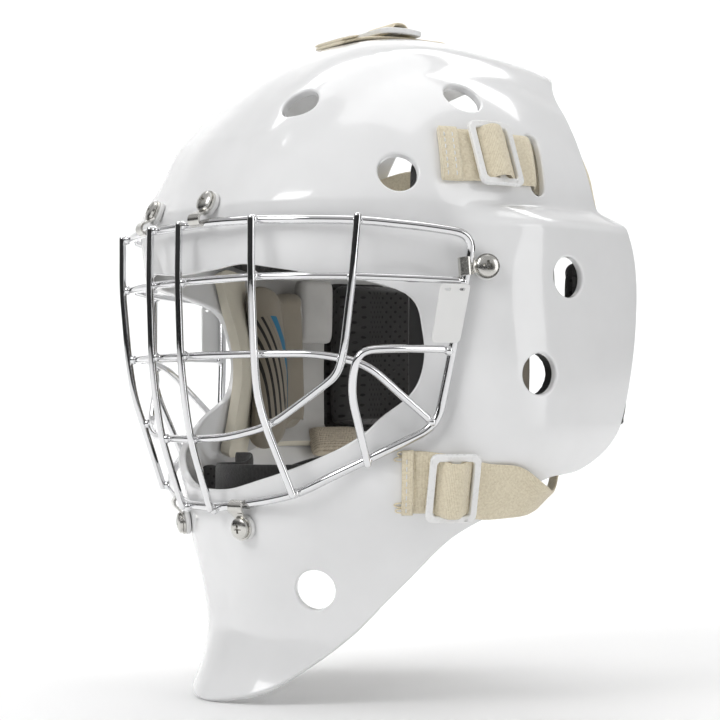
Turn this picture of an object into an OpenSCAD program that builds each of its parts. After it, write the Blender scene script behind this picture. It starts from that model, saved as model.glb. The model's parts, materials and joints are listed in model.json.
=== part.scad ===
// Ice hockey goalie mask: moulded shell, welded wire cage, liner pads, chin cup,
// and a backplate held by five elastic straps with adjustment sliders.
// Frame: +Z up, the face looks towards -Y, the wearer's left is +X.
// The origin is the middle of the head space. Millimetres.

/* [Shell] */
// Thickness of the moulded shell wall
shell_wall = 4; // [3.6:0.1:4.2]
// Height that the crest band stands above the side panels
crest_h = 4; // [3:0.5:4.5]
// Diameter of the round vents
vent_d = 18; // [14:1:20]

/* [Cage] */
// Diameter of the inner cage wires
wire_d = 3.4; // [3:0.1:3.6]
// Diameter of the perimeter wire
rim_wire_d = 4; // [3.6:0.1:4.2]

/* [Hardware] */
// Diameter of the clip screws' shafts
screw_d = 4; // [3.5:0.5:4]
// Diameter of the clip screws' heads
screw_head_d = 9.5; // [9:0.5:10.5]
// Thickness of the nylon washers under the clips
washer_t = 2.6; // [2:0.2:3]

/* [Straps] */
// Thickness of the elastic webbing
web_t = 1.6; // [1.4:0.1:1.8]
// Length of a slider across the strap
slider_w = 31; // [30:1:33]
// Length of a slider along the strap
slider_l = 23; // [22:1:25]
// Thickness of a slider
slider_t = 2.6; // [2.4:0.1:3]

/* [Liner] */
// Thickness of the side liner pads
side_pad_t = 11; // [8:1:12]
// Thickness of the forehead and crown pads
head_pad_t = 9; // [7:1:10]

/* [Hidden] */

// The shell is a loft in polar form round a vertical axis at y = AXIS_Y. Angle 0 is the
// face, 90 is the ear and 180 the nape. LOFT_R holds its radius, a row for each height.
AXIS_Y = 20;
LOFT_A = [-15, 0, 15, 32, 50, 62, 75, 90, 120, 150, 180, 210];
LOFT_Z = [-157, -141, -124, -102, -80, -55, -30, 0, 30, 66];
LOFT_R = [
    [107, 102,  92,  86,  84,  84,  84,  90, 110, 120],
    [ 97,  95,  88,  84,  83,  84,  86,  92, 110, 120],
    [ 92,  92,  86,  84,  84,  86,  88,  94, 112, 124],
    [ 94,  95,  88,  86,  87,  88,  90,  96, 116, 128],
    [ 99, 100,  96,  93,  93,  94,  96, 100, 120, 132],
    [101, 102, 103, 106, 107, 106, 103, 104, 122, 134],
    [106, 106, 109, 106, 101, 107, 104, 106, 124, 136],
    [111, 111, 115, 106,  97, 109, 105, 108, 126, 138],
    [114, 114, 119, 112, 105, 110, 104, 108, 128, 138],
    [116, 117, 123, 118, 113, 107, 103, 106, 126, 138]
];
DOME_Z = 66;
DOME_TOP = 148.5;
SHELL_BOTTOM = -157;
WING_OUT = 12;
STEP_A = 7.5;
STEP_Z = 7.5;
DOME_RINGS = 13;

// Side outline of the shell, from the crown down the rear edge and the jaw to the chin tip
REAR_EDGE = [
    [86, 156], [84, 143], [78, 136], [70, 126], [68, 112], [67, 95], [68, 76], [71, 66], [79, 60],
    [84, 50], [86, 36], [85, 15], [82, -5], [76, -28], [68, -42], [54, -51], [32, -55], [18, -63],
    [5, -71], [-8, -80], [-25, -102], [-41, -124], [-59, -141], [-70, -148.5], [-82, -153], [-92, -156]
];
// Front outline of half of the face opening
OPENING = [
    [0, 37], [22, 38], [44, 39.5], [62, 37], [76, 34], [86, 31.5], [89.5, 28], [90.5, 22], [89, 10],
    [88, -2], [86.5, -14], [84, -27], [81, -34], [75, -40], [64, -46], [52, -50.5], [36, -55],
    [18, -59], [0, -60]
];
// Angle and height of the vents on each side
VENTS = [[30.5, 108.9], [78.5, 115.5], [57.7, 78.4], [98.7, 34.5], [89.8, -8.4], [33.2, -103.5]];

BROW_CLIP = [12.8, 66.6];
SIDE_CLIP = [77, 37.3];
CHIN_CLIP = [15.8, -76];
CLIP_T = 1.2;
CLIP_W = 7;
NUT_D = 6.2;
WASHER_D = 11.4;
FIT = 0.1;

BAR_Y = -101;

SIDE_SLOT = [32, 85.5];
SIDE_SLOT_SIZE = [8, 29];
TOP_SLOT = [46, 29];

SNAP = [62, -34, -54];
SNAP_L = 9.6;

// ---- Small helpers ----

function unit(v) = v / norm(v);
function smooth(a, b, x) = let(t = min(max((x - a) / (b - a), 0), 1)) t * t * (3 - 2 * t);
function mix(a, b, t) = a + (b - a) * t;
function knot(xs, x, i = 0) = (i >= len(xs) - 2 || x < xs[i + 1]) ? i : knot(xs, x, i + 1);
function slope(xs, ys, i) =
    i == 0 ? (ys[1] - ys[0]) / (xs[1] - xs[0])
    : i == len(xs) - 1 ? 0 * ys[i]
    : let(a = xs[i] - xs[i - 1], b = xs[i + 1] - xs[i], w = b / (a + b))
      (ys[i] - ys[i - 1]) / a * w + (ys[i + 1] - ys[i]) / b * (1 - w);
// Smooth curve through the knots; ys may hold numbers or rows of numbers
function curve(xs, ys, x) =
    let(i = knot(xs, x), h = xs[i + 1] - xs[i], t = (x - xs[i]) / h)
    (2 * t ^ 3 - 3 * t ^ 2 + 1) * ys[i] + (t ^ 3 - 2 * t ^ 2 + t) * h * slope(xs, ys, i)
    + (3 * t ^ 2 - 2 * t ^ 3) * ys[i + 1] + (t ^ 3 - t ^ 2) * h * slope(xs, ys, i + 1);

// ---- The shell's outer surface ----

function loft_row(z) = curve(LOFT_Z, LOFT_R, min(z, DOME_Z));
function loft_radius(a, row) = curve(LOFT_A, [row[1], each row, row[len(row) - 2]], a);
function wing(a, z) = WING_OUT * smooth(66, 92, a) * smooth(68, 58, z) * smooth(-62, -30, z);
function dome_scale(a, z) =
    let(t = min(max((z - DOME_Z) / (DOME_TOP - DOME_Z), 0), 1), power = 1.08 + 0.49 * smooth(25, 80, a))
    (1 - t ^ power) ^ (1 / 2.4);
function crest(x, y, z) =
    let(half = 60 - 16 * smooth(-60, -92, y))
    crest_h * smooth(half + 8, half - 10, abs(x)) * smooth(72, 100, z);
function surface_point(a, z, row) =
    let(
        b = abs(a),
        r = (loft_radius(b, row) + wing(b, z)) * dome_scale(b, z),
        x = r * sin(a),
        y = AXIS_Y - r * cos(a),
        up = unit([0.6 * x, 0.6 * (y - AXIS_Y), z - 30])
    )
    [x, y, z] + up * crest(x, y, z);
function at(a, z) = surface_point(a, z, loft_row(z));
function normal_at(a, z) = unit(cross(at(a + 0.5, z) - at(a - 0.5, z), at(a, z + 0.5) - at(a, z - 0.5)));
function off(a, z, d) = at(a, z) + d * normal_at(a, z);

// A patch of the surface: rows go up, columns go round from angle a0 to a1
function patch(a0, a1, z0, z1, rows, cols) = [
    for (i = [0:rows]) let(z = mix(z0, z1, i / rows), row = loft_row(z))
        [for (j = [0:cols]) surface_point(mix(a0, a1, j / cols), z, row)]
];

// ---- Solids built on grids of points ----

function wrap(j, n, closed) = closed ? (j + n) % n : min(max(j, 0), n - 1);
function grid_normal(g, i, j, closed) =
    let(n = len(g[0]), m = len(g))
    unit(cross(
        g[i][wrap(j + 1, n, closed)] - g[i][wrap(j - 1, n, closed)],
        g[min(i + 1, m - 1)][j] - g[max(i - 1, 0)][j]
    ));
function shifted(g, d, closed = false) = [
    for (i = [0:len(g) - 1]) [for (j = [0:len(g[0]) - 1]) g[i][j] + d * grid_normal(g, i, j, closed)]
];
function quad(a, b, c, d) = [[a, b, c], [a, c, d]];

// Closed solid between two grids of the same size
module between(outer, inner) {
    m = len(outer);
    n = len(outer[0]);
    k = m * n;
    points = [for (g = [outer, inner]) for (line = g) each line];
    skins = [
        for (i = [0:m - 2]) for (j = [0:n - 2])
            let(a = i * n + j, b = a + n, c = b + 1, d = a + 1)
            each concat(quad(a, b, c, d), quad(k + d, k + c, k + b, k + a))
    ];
    ends = [
        for (j = [0:n - 2])
            let(a = j, b = (m - 1) * n + j)
            each concat(quad(a, a + 1, k + a + 1, k + a), quad(b + 1, b, k + b, k + b + 1))
    ];
    sides = [
        for (i = [0:m - 2])
            let(a = i * n, b = a + n - 1)
            each concat(quad(a + n, a, k + a, k + a + n), quad(b, b + n, k + b + n, k + b))
    ];
    polyhedron(points, concat(skins, ends, sides), convexity = 8);
}

// Pad or strap of a surface grid, from depth d0 to depth d1 along its normals
module slab(g, d0, d1) {
    between(shifted(g, d1), shifted(g, d0));
}

// Closed bell: rings that close round the axis, with a pole on top
module bell(outer, inner, outer_pole, inner_pole) {
    m = len(outer);
    n = len(outer[0]);
    k = m * n;
    points = concat([for (g = [outer, inner]) for (line = g) each line], [outer_pole, inner_pole]);
    skins = [
        for (i = [0:m - 2]) for (j = [0:n - 1])
            let(a = i * n + j, d = i * n + (j + 1) % n, b = a + n, c = d + n)
            each concat(quad(a, b, c, d), quad(k + d, k + c, k + b, k + a))
    ];
    rim = [for (j = [0:n - 1]) let(a = j, d = (j + 1) % n) each quad(a, d, k + d, k + a)];
    caps = [
        for (j = [0:n - 1])
            let(a = (m - 1) * n + j, d = (m - 1) * n + (j + 1) % n)
            each [[a, 2 * k, d], [k + d, 2 * k + 1, k + a]]
    ];
    polyhedron(points, concat(skins, rim, caps), convexity = 10);
}

// Path with its corners rounded by a curve that starts "bend" away from each corner
function rounded(p, bend) = concat(
    [p[0]],
    [for (i = [1:len(p) - 2])
        let(
            u = p[i - 1] - p[i],
            v = p[i + 1] - p[i],
            a = p[i] + unit(u) * min(bend, norm(u) * 0.45),
            b = p[i] + unit(v) * min(bend, norm(v) * 0.45)
        )
        each [for (t = [0, 0.5, 1]) mix(mix(a, p[i], t), mix(p[i], b, t), t)]],
    [p[len(p) - 1]]
);

// Round wire along a path that wraps round the head's axis
module wire(path, d, loop = false) {
    sides = 8;
    m = len(path);
    rings = [
        for (i = [0:m - 1])
            let(
                before = loop ? path[(i + m - 1) % m] : path[max(i - 1, 0)],
                after = loop ? path[(i + 1) % m] : path[min(i + 1, m - 1)],
                t = unit(after - before),
                out = [path[i].x, path[i].y - AXIS_Y, 0],
                s = unit(cross(t, out)),
                r = cross(s, t)
            )
            each [for (k = [0:sides - 1]) path[i] + d / 2 * (cos(k * 360 / sides) * s + sin(k * 360 / sides) * r)]
    ];
    last = loop ? m - 1 : m - 2;
    tube = [
        for (i = [0:last]) for (k = [0:sides - 1])
            let(a = i * sides + k, b = i * sides + (k + 1) % sides, up = ((i + 1) % m - i) * sides)
            each quad(a, b, b + up, a + up)
    ];
    plugs = loop ? [] : [
        [for (k = [sides - 1:-1:0]) k],
        [for (k = [0:sides - 1]) (m - 1) * sides + k]
    ];
    polyhedron(rings, concat(tube, plugs), convexity = 6);
}

function mirrored(p) = [for (q = p) [-q.x, q.y, q.z]];
function reversed(p) = [for (i = [len(p) - 1:-1:0]) p[i]];
// Whole path from its left half, which starts beside the middle plane
function both_halves(p) = concat(reversed(mirrored(p)), p);

module both_sides() {
    children();
    mirror([1, 0, 0]) children();
}

// Children stand on the surface, with +Z along its outward normal
module on_surface(a, z, lift = 0) {
    n = normal_at(a, z);
    translate(off(a, z, lift)) rotate([0, acos(n.z), atan2(n.y, n.x)]) children();
}

// ---- Shell ----

RING_Z = concat(
    [for (i = [0:floor((DOME_Z - SHELL_BOTTOM) / STEP_Z)]) mix(SHELL_BOTTOM, DOME_Z, i * STEP_Z / (DOME_Z - SHELL_BOTTOM))],
    [for (i = [0:DOME_RINGS]) DOME_Z + (DOME_TOP - DOME_Z) * sin(i * 86 / DOME_RINGS)]
);

module shell_bell() {
    outer = [
        for (z = RING_Z) let(row = loft_row(z))
            [for (a = [-180:STEP_A:180 - STEP_A]) surface_point(a, z, row)]
    ];
    pole = [0, AXIS_Y, DOME_TOP + crest_h];
    bell(outer, shifted(outer, -shell_wall, true), pole, pole - [0, 0, shell_wall]);
}

module rear_cut() {
    behind = [[-130, -156], [-130, -200], [260, -200], [260, 156]];
    rotate([90, 0, 90]) translate([0, 0, -200]) linear_extrude(400) polygon(concat(REAR_EDGE, behind));
}

module face_opening() {
    half = [for (p = OPENING) if (p.x > 0) p];
    outline = concat([OPENING[0]], half, [OPENING[len(OPENING) - 1]], reversed([for (p = half) [-p.x, p.y]]));
    rotate([90, 0, 0]) translate([0, 0, 6]) linear_extrude(150) polygon(outline);
}

module side_slot() {
    y = SIDE_SLOT[0];
    z = SIDE_SLOT[1];
    w = SIDE_SLOT_SIZE[0];
    l = SIDE_SLOT_SIZE[1];
    translate([80, y, z]) rotate([-8, 0, 0]) rotate([0, 90, 0]) {
        for (s = [-1, 1]) translate([s * (l - w) / 2, 0, 0]) cylinder(d = w, h = 40);
        translate([-(l - w) / 2, -w / 2, 0]) cube([l - w, w, 40]);
    }
}

module top_slot() {
    w = SIDE_SLOT_SIZE[0];
    translate([0, TOP_SLOT[0], 120]) {
        for (s = [-1, 1]) translate([s * (TOP_SLOT[1] - w) / 2, 0, 0]) cylinder(d = w, h = 50);
        translate([-(TOP_SLOT[1] - w) / 2, -w / 2, 0]) cube([TOP_SLOT[1] - w, w, 50]);
    }
}

module clip_holes(d, from, to) {
    both_sides() {
        for (c = [BROW_CLIP, SIDE_CLIP, CHIN_CLIP])
            on_surface(c[0], c[1]) translate([0, 0, from]) cylinder(d = d, h = to - from);
    }
}

module shell() {
    color("white")
    difference() {
        shell_bell();
        rear_cut();
        face_opening();
        both_sides() {
            for (v = VENTS) on_surface(v[0], v[1]) cylinder(d = vent_d, h = 40, center = true, $fn = 48);
            side_slot();
        }
        top_slot();
        clip_holes(NUT_D + 2 * FIT, -12, 12, $fn = 24);
    }
}

// ---- Cage ----

PERIMETER = [
    [14, BAR_Y + 0.5, 58], [40, -98, 58], [62, -91.5, 57.5], [80, -76, 57], [94, -58, 56.5], [106, -34, 54],
    [113, -13, 51], [110, -15.5, 32], [104, -18.5, 0], [98.5, -22.5, -31], [90.5, -42.5, -41],
    [74.5, -61.8, -53], [61.5, -69.5, -60], [46, -75.5, -63.5], [28, -80.5, -66], [13, -83.5, -67.5]
];
BROW_BAR = [[14, -101, 33], [40, -97.5, 33], [62, -91.5, 33], [80, -76, 33], [93, -59.5, 32.7], [104, -35, 31.9],
    [109.6, -17.5, 31.2]];
CROSS_BAR = [[14.5, -99.5, 0], [40, -95.5, 0], [60, -89, 0], [80, -72, 0], [92, -55, -4], [98.5, -26, -28.5]];
LOWER_HOOP = [[14.5, -94.5, -37], [36, -91, -36], [58, -82, -31], [76, -71, -17], [86, -65, -9], [90, -64.5, 0],
    [94, -62.5, 33], [96, -61, 59.5]];
CENTER_BAR = [[14.3, -103.8, 60], [14.3, -104.2, 33], [14.3, -103, 0], [14.3, -101, -18], [14.2, -97.8, -37],
    [13.6, -87, -69.5]];
OUTER_BAR = [[63.4, -94.4, 59.5], [63.4, -94.4, 33], [61.6, -92, 0], [60.2, -89.5, -18], [59.6, -85, -31],
    [62.5, -72.6, -62]];
SIDE_HOOP = [[104.2, -22, 2], [101, -48, 2], [97.5, -62, 1], [91.5, -62, -16], [86, -49.5, -48.5]];
BEND = 9;

module cage_perimeter() {
    half = rounded(PERIMETER, BEND);
    color("silver") wire(both_halves(half), rim_wire_d, loop = true);
}

module cage_brow_bar() {
    color("silver") wire(both_halves(rounded(BROW_BAR, BEND)), wire_d);
}

module cage_cross_bar() {
    color("silver") wire(both_halves(rounded(CROSS_BAR, BEND)), wire_d);
}

module cage_lower_hoop() {
    color("silver") wire(both_halves(rounded(LOWER_HOOP, BEND)), wire_d);
}

module cage_center_bars() {
    color("silver") both_sides() wire(rounded(CENTER_BAR, BEND), wire_d);
}

module cage_outer_bars() {
    color("silver") both_sides() wire(rounded(OUTER_BAR, BEND), wire_d);
}

module cage_side_hoops() {
    color("silver") both_sides() wire(rounded(SIDE_HOOP, BEND), wire_d);
}

// Blank plate between the brow bar and the side hoop, just outside the side wire
module cage_tags() {
    top = [[112.7, -14.5, 30], [109.2, -28, 30]];
    bottom = [[107.6, -17, 4.5], [104.9, -30, 4.5]];
    grid = [[bottom[1], bottom[0]], [top[1], top[0]]];
    color("white") both_sides() slab(grid, 0, 1);
}

// ---- Clips, screws, washers and nuts ----

// Tab on the washer with a hook round the wire, which is "reach" away and "height" above the tab.
// In its own frame the screw is the Z axis and the wire lies along X, at -Y.
module clip(reach, height, wire_r) {
    difference() {
        union() {
            cylinder(d = screw_head_d + 1.5, h = CLIP_T, $fn = 32);
            translate([-CLIP_W / 2, -reach, 0]) cube([CLIP_W, reach, CLIP_T]);
            translate([-CLIP_W / 2, -reach, height]) rotate([0, 90, 0]) cylinder(r = wire_r + FIT + CLIP_T, h = CLIP_W, $fn = 32);
        }
        translate([-CLIP_W, -reach, height]) rotate([0, 90, 0]) cylinder(r = wire_r + FIT, h = 2 * CLIP_W, $fn = 32);
        translate([0, 0, -1]) cylinder(d = screw_d + 2 * FIT, h = CLIP_T + 2, $fn = 24);
    }
}

// A clip stands on the surface and points along "turn", measured round the normal
module placed_clip(c, turn, reach, height) {
    on_surface(c[0], c[1], washer_t) rotate([0, 0, turn]) clip(reach, height, rim_wire_d / 2);
}

module brow_clips() {
    color("gray") both_sides() placed_clip(BROW_CLIP, 90, 9, 1.6);
}

module side_clips() {
    color("gray") both_sides() placed_clip(SIDE_CLIP, 3, 9.4, 1);
}

module chin_clips() {
    color("gray") both_sides() placed_clip(CHIN_CLIP, -90, 9.6, 1.4);
}

module screw() {
    under_head = washer_t + CLIP_T;
    dome = 2.4;
    color("lightgray")
    difference() {
        union() {
            translate([0, 0, -shell_wall]) cylinder(d = screw_d, h = shell_wall + under_head, $fn = 24);
            translate([0, 0, under_head])
                intersection() {
                    cylinder(d = screw_head_d, h = dome, $fn = 32);
                    translate([0, 0, dome - screw_head_d * 0.75]) sphere(r = screw_head_d * 0.75, $fn = 48);
                }
        }
        for (turn = [0, 90]) rotate([0, 0, turn]) translate([-2.4, -0.6, under_head + 1]) cube([4.8, 1.2, 3]);
    }
}

module clip_screws() {
    both_sides() {
        for (c = [BROW_CLIP, SIDE_CLIP, CHIN_CLIP]) on_surface(c[0], c[1]) screw();
    }
}

module clip_washers() {
    color("whitesmoke")
    both_sides() {
        for (c = [BROW_CLIP, SIDE_CLIP, CHIN_CLIP]) on_surface(c[0], c[1])
            difference() {
                translate([0, 0, 0.25]) cylinder(d = WASHER_D, h = washer_t - 0.25, $fn = 32);
                translate([0, 0, -1]) cylinder(d = screw_d + 2 * FIT, h = washer_t + 2, $fn = 24);
            }
    }
}

module tee_nut() {
    flange = 1;
    under = -shell_wall - 2.8;
    difference() {
        union() {
            translate([0, 0, under]) cylinder(d = 7.4, h = flange, $fn = 32);
            translate([0, 0, under]) cylinder(d = NUT_D, h = shell_wall + 2.3, $fn = 24);
        }
        translate([0, 0, -shell_wall - 3]) cylinder(d = screw_d + FIT, h = shell_wall + 4, $fn = 24);
    }
}

module tee_nuts() {
    color("gray")
    both_sides() {
        for (c = [BROW_CLIP, SIDE_CLIP, CHIN_CLIP]) on_surface(c[0], c[1]) tee_nut();
    }
}

// ---- Liner ----

PAD_BACK = -shell_wall - 3;

module sweatband() {
    color("dimgray") slab(patch(-40, 40, 40, 52, 2, 14), PAD_BACK - 6, PAD_BACK);
}

module forehead_pad() {
    color("dimgray") slab(patch(-40, 40, 56, 92, 5, 12), PAD_BACK - head_pad_t, PAD_BACK);
}

module crown_pad() {
    across = [-30, -15, 0, 15, 30];
    along = [-28, -12, 4, 20, 34];
    sag = 0.0045;
    top = DOME_TOP + crest_h - shell_wall - 2.5;
    grid = [for (x = reversed(across)) [for (y = along) [x, y, top - sag * (x * x + (y - AXIS_Y) ^ 2)]]];
    color("dimgray") slab(grid, -head_pad_t, 0);
}

module temple_pad() {
    color("gray") slab(patch(62, 94, 48, 92, 5, 5), PAD_BACK - side_pad_t, PAD_BACK);
}

// Foam sheet behind the wing, with a hole at each vent
LINER_T = 4;
LINER_BACK = PAD_BACK - LINER_T - 1;

module side_liner() {
    color("tan")
    difference() {
        slab(patch(64, 103, -45, 45, 8, 8), PAD_BACK - LINER_T, PAD_BACK);
        for (v = [VENTS[3], VENTS[4]])
            on_surface(v[0], v[1]) cylinder(d = vent_d + 2, h = 60, center = true, $fn = 48);
    }
}

// Thick pad whose inner face overhangs its back, so that the wing's vents stay open
module cheek_pad() {
    back = shifted(patch(67, 84, -43, 41, 8, 5), LINER_BACK);
    face = shifted(patch(66, 93, -40, 38, 8, 5), LINER_BACK - side_pad_t - 5);
    color("tan") between(back, face);
}

// Wedge behind the vents, which thickens towards the rear edge
module ear_pad() {
    cols = 5;
    base = patch(104, 117, -34, 40, 8, cols);
    thin = shifted(base, PAD_BACK - 0.7 * side_pad_t);
    thick = shifted(base, PAD_BACK - 2 * side_pad_t);
    face = [for (i = [0:len(base) - 1]) [for (j = [0:cols]) mix(thin[i][j], thick[i][j], j / cols)]];
    color("dimgray") between(shifted(base, PAD_BACK), face);
}

module jaw_pads() {
    color("tan") both_sides() slab(patch(48, 72, -82, -52, 4, 4), PAD_BACK - 6, PAD_BACK);
}

module chin_pad() {
    color("dimgray") slab(patch(-12, 12, -112, -86, 3, 4), PAD_BACK - 5, PAD_BACK);
}

// ---- Chin cup ----

CUP = [0, -41, -52];
CUP_R = 30;
CUP_T = 3.2;

// Open bowl under the chin: a dish of a sphere, cut off above
module chin_cup() {
    color("dimgray")
    translate(CUP) rotate([25, 0, 0])
        rotate_extrude($fn = 40)
        intersection() {
            difference() {
                circle(r = CUP_R, $fn = 64);
                circle(r = CUP_R - CUP_T, $fn = 64);
            }
            translate([0, -CUP_R - 1]) square([CUP_R + 1, CUP_R - 6]);
        }
}

// Webbing sling from one snap to the other, round the front of the cup
module chin_cup_strap() {
    angles = [for (a = [-78:13:78]) a];
    reach = CUP_R + 1.2;
    centre = [CUP.x, CUP.y + 0.5, CUP.z - 6];
    sling = [
        for (h = [-9, 0, 9])
            concat(
                [[-SNAP.x + 1.5, SNAP.y, SNAP.z + h * 0.8], [-SNAP.x + 14, SNAP.y + 1, SNAP.z + h]],
                [for (a = angles) centre + [reach * sin(a), -reach * cos(a), h]],
                [[SNAP.x - 14, SNAP.y + 1, SNAP.z + h], [SNAP.x - 1.5, SNAP.y, SNAP.z + h * 0.8]]
            )
    ];
    color("wheat") slab(sling, 0, 1.4);
}

module chin_snaps() {
    color("gray")
    both_sides()
        translate(SNAP) rotate([0, 90, 0]) cylinder(d = 7, h = SNAP_L, $fn = 24);
}

// ---- Straps ----

// Strap over the surface: stations are [angle and z of its low edge, of its high edge, depth]
ACROSS = 4;
function station(s) = [for (k = [0:ACROSS]) off(mix(s[0], s[2], k / ACROSS), mix(s[1], s[3], k / ACROSS), s[4])];
function straight(a, b) = [for (k = [0:ACROSS]) mix(a, b, k / ACROSS)];
function turned(rows) = [for (k = [0:ACROSS]) [for (r = rows) r[k]]];

SIDE_STRAP = [
    [67.5, 75, 67.5, 98, 1.2], [71, 75, 71, 98, 1.2], [76, 75.5, 76, 98, 1.2], [82, 75.5, 82, 98, 1.2],
    [88, 75, 88.5, 97.5, 1.2], [91.5, 75, 93, 97.5, 1.2], [93.9, 75, 96.1, 97.3, 1.2], [96, 75, 98.4, 97, -2.5],
    [97.7, 75, 100.4, 97, -6.5], [102, 75.5, 104, 97, -10]
];

module side_strap() {
    rows = concat(
        [for (s = SIDE_STRAP) station(s)],
        [
            straight([68, 76, 80], [65, 76, 101]),
            straight([43.5, 109.6, 66], [39, 108, 87]),
            straight([33, 116.6, 66], [30, 114.2, 87])
        ]
    );
    slab(turned(rows), -web_t / 2, web_t / 2);
}

module side_straps() {
    color("wheat") both_sides() side_strap();
}

LOWER_STRAP = [
    [58.5, -67.5, 58.5, -42.5, 1.4], [62, -67.5, 62, -42.5, 1.4], [66, -67.5, 66, -43, 1.4],
    [70, -68, 70, -44, 1.4], [74, -69, 74, -45.5, 1.4], [78, -70.5, 78, -47, 1.4]
];

module lower_strap() {
    rows = concat(
        [for (s = LOWER_STRAP) station(s)],
        [
            straight([99, 14, -71], [110.5, 14, -49.5]),
            straight([97.5, 26, -70], [109, 28, -57.5]),
            straight([91, 38, -66], [98, 40, -60]),
            straight([72, 62, -44], [76, 64, -31]),
            straight([24, 118, 47], [44, 108.6, 44]),
            straight([13, 121.6, 60], [31, 116.9, 60])
        ]
    );
    slab(turned(rows), -web_t / 2, web_t / 2);
}

module lower_straps() {
    color("wheat") both_sides() lower_strap();
}

TOP_Z = DOME_TOP + crest_h;
TOP_STRAP = [
    [-17, 1.2], [-8, 1.2], [2, 1.2], [12, 1.2], [22, 1.2], [32, 1.2], [41.5, 1.0], [46.5, -2.2], [51, -6.5]
];
// Y and Z of its stretch behind the shell, over the edge of the backplate
TOP_STRAP_END = [[72, 138.5], [86, 132.8], [95.5, 123.5], [102.5, 113], [107.6, 106], [111.6, 99.6]];
WEB_HALF = 12.5;
// Height of the crown over the middle line at y
function crown_z(y) =
    let(a = y < AXIS_Y ? 0 : 180, r = abs(y - AXIS_Y) / (y < AXIS_Y ? 116 : 138))
    DOME_Z + (DOME_TOP - DOME_Z) * (1 - min(r, 1) ^ 2.4) ^ (1 / (y < AXIS_Y ? 1.08 : 1.57)) + crest_h;

module top_strap() {
    rows = concat(
        [for (s = TOP_STRAP) straight([WEB_HALF, s[0], crown_z(s[0]) + s[1]], [-WEB_HALF, s[0], crown_z(s[0]) + s[1]])],
        [for (p = TOP_STRAP_END) straight([WEB_HALF, p[0], p[1]], [-WEB_HALF, p[0], p[1]])]
    );
    color("wheat") slab(turned([for (r = rows) reversed(r)]), -web_t / 2, web_t / 2);
}

// ---- Sliders ----
// In its own frame a slider lies flat: X along the strap, Y across it, Z outwards.

module slider() {
    bar = 2.6;
    window = [(slider_l - 3 * bar) / 2, slider_w - 2 * bar, 2 * slider_t];
    translate([0, 0, slider_t / 2])
    difference() {
        cube([slider_l, slider_w, slider_t], center = true);
        for (s = [-1, 1]) translate([s * (window.x + bar) / 2, 0, 0]) cube(window, center = true);
    }
}

// The bight of webbing that passes up through one window, over the middle bar and down the other
module slider_wrap() {
    w = 2 * WEB_HALF;
    gap = 0.3;
    rise = slider_t + gap;
    half = 3.6;
    color("wheat")
    rotate([90, 0, 0]) translate([0, 0, -w / 2])
    linear_extrude(w)
        polygon([[-half - 1.6, 0], [-half, rise + 0.9], [-half + 1, rise + 1.6], [half - 1, rise + 1.6],
            [half, rise + 0.9], [half + 1.6, 0], [half, 0], [half - 1.7, rise], [-half + 1.7, rise], [-half, 0]]);
}

SLIDER_LIFT = 2.6;

module on_side_slider() {
    on_surface(82, 86.7, SLIDER_LIFT) rotate([0, 0, 90]) children();
}

module on_lower_slider() {
    on_surface(70, -56.5, SLIDER_LIFT) rotate([0, 0, 90]) children();
}

module on_top_slider() {
    translate([0, 15, TOP_Z + SLIDER_LIFT]) rotate([0, 0, 90]) children();
}

module top_slider() {
    color("white") on_top_slider() slider();
}

module top_slider_wrap() {
    on_top_slider() slider_wrap();
}

module left_side_slider() {
    color("white") on_side_slider() slider();
}

module left_side_slider_wrap() {
    on_side_slider() slider_wrap();
}

module right_side_slider() {
    mirror([1, 0, 0]) left_side_slider();
}

module right_side_slider_wrap() {
    mirror([1, 0, 0]) left_side_slider_wrap();
}

module left_lower_slider() {
    color("white") on_lower_slider() slider();
}

module left_lower_slider_wrap() {
    on_lower_slider() slider_wrap();
}

module right_lower_slider() {
    mirror([1, 0, 0]) left_lower_slider();
}

module right_lower_slider_wrap() {
    mirror([1, 0, 0]) left_lower_slider_wrap();
}

// ---- Backplate ----

// Height, half width and Y at the middle, from the lower tip to the top edge
PLATE = [
    [58, 33, 117], [66, 39, 116.5], [76, 37, 114.5], [86, 32, 112], [96, 24, 108.5], [104, 17, 103.5]
];
PLATE_BOW = 0.006;
PLATE_COLS = 8;
PLATE_T = 3;
PLATE_MIDDLE = [for (row = PLATE) [row[0], row[2]]];

function plate_point(x, z) = [x, lookup(z, PLATE_MIDDLE) - PLATE_BOW * x * x, z];
function plate_grid(inset) = [
    for (row = PLATE)
        let(half = row[1] - inset)
        [for (j = [0:PLATE_COLS]) plate_point(half * (1 - 2 * j / PLATE_COLS), row[0])]
];

module backplate() {
    color("white") slab(plate_grid(0), 0, PLATE_T);
}

module backplate_pad() {
    color("dimgray") slab(plate_grid(8), -8.3, -0.3);
}

// Children stand on the plate's outer face, with +Z along its normal
module on_plate(x, z) {
    n = unit(cross(plate_point(x, z + 1) - plate_point(x, z - 1), plate_point(x + 1, z) - plate_point(x - 1, z)));
    translate(plate_point(x, z) + PLATE_T * n) rotate([0, acos(n.z), atan2(n.y, n.x)]) children();
}

// A shank through the webbing, with a domed head on it
module rivet() {
    shank = web_t + 0.8;
    translate([0, 0, 0.1]) cylinder(d = 4, h = shank, $fn = 24);
    translate([0, 0, shank])
        intersection() {
            cylinder(d = 9, h = 2.2, $fn = 32);
            translate([0, 0, -5.8]) sphere(r = 8, $fn = 48);
        }
}

module strap_rivets() {
    color("silver")
    for (p = [[0, 90], [23, 77], [-23, 77], [20, 66.5], [-20, 66.5]]) on_plate(p[0], p[1]) rivet();
}

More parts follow.
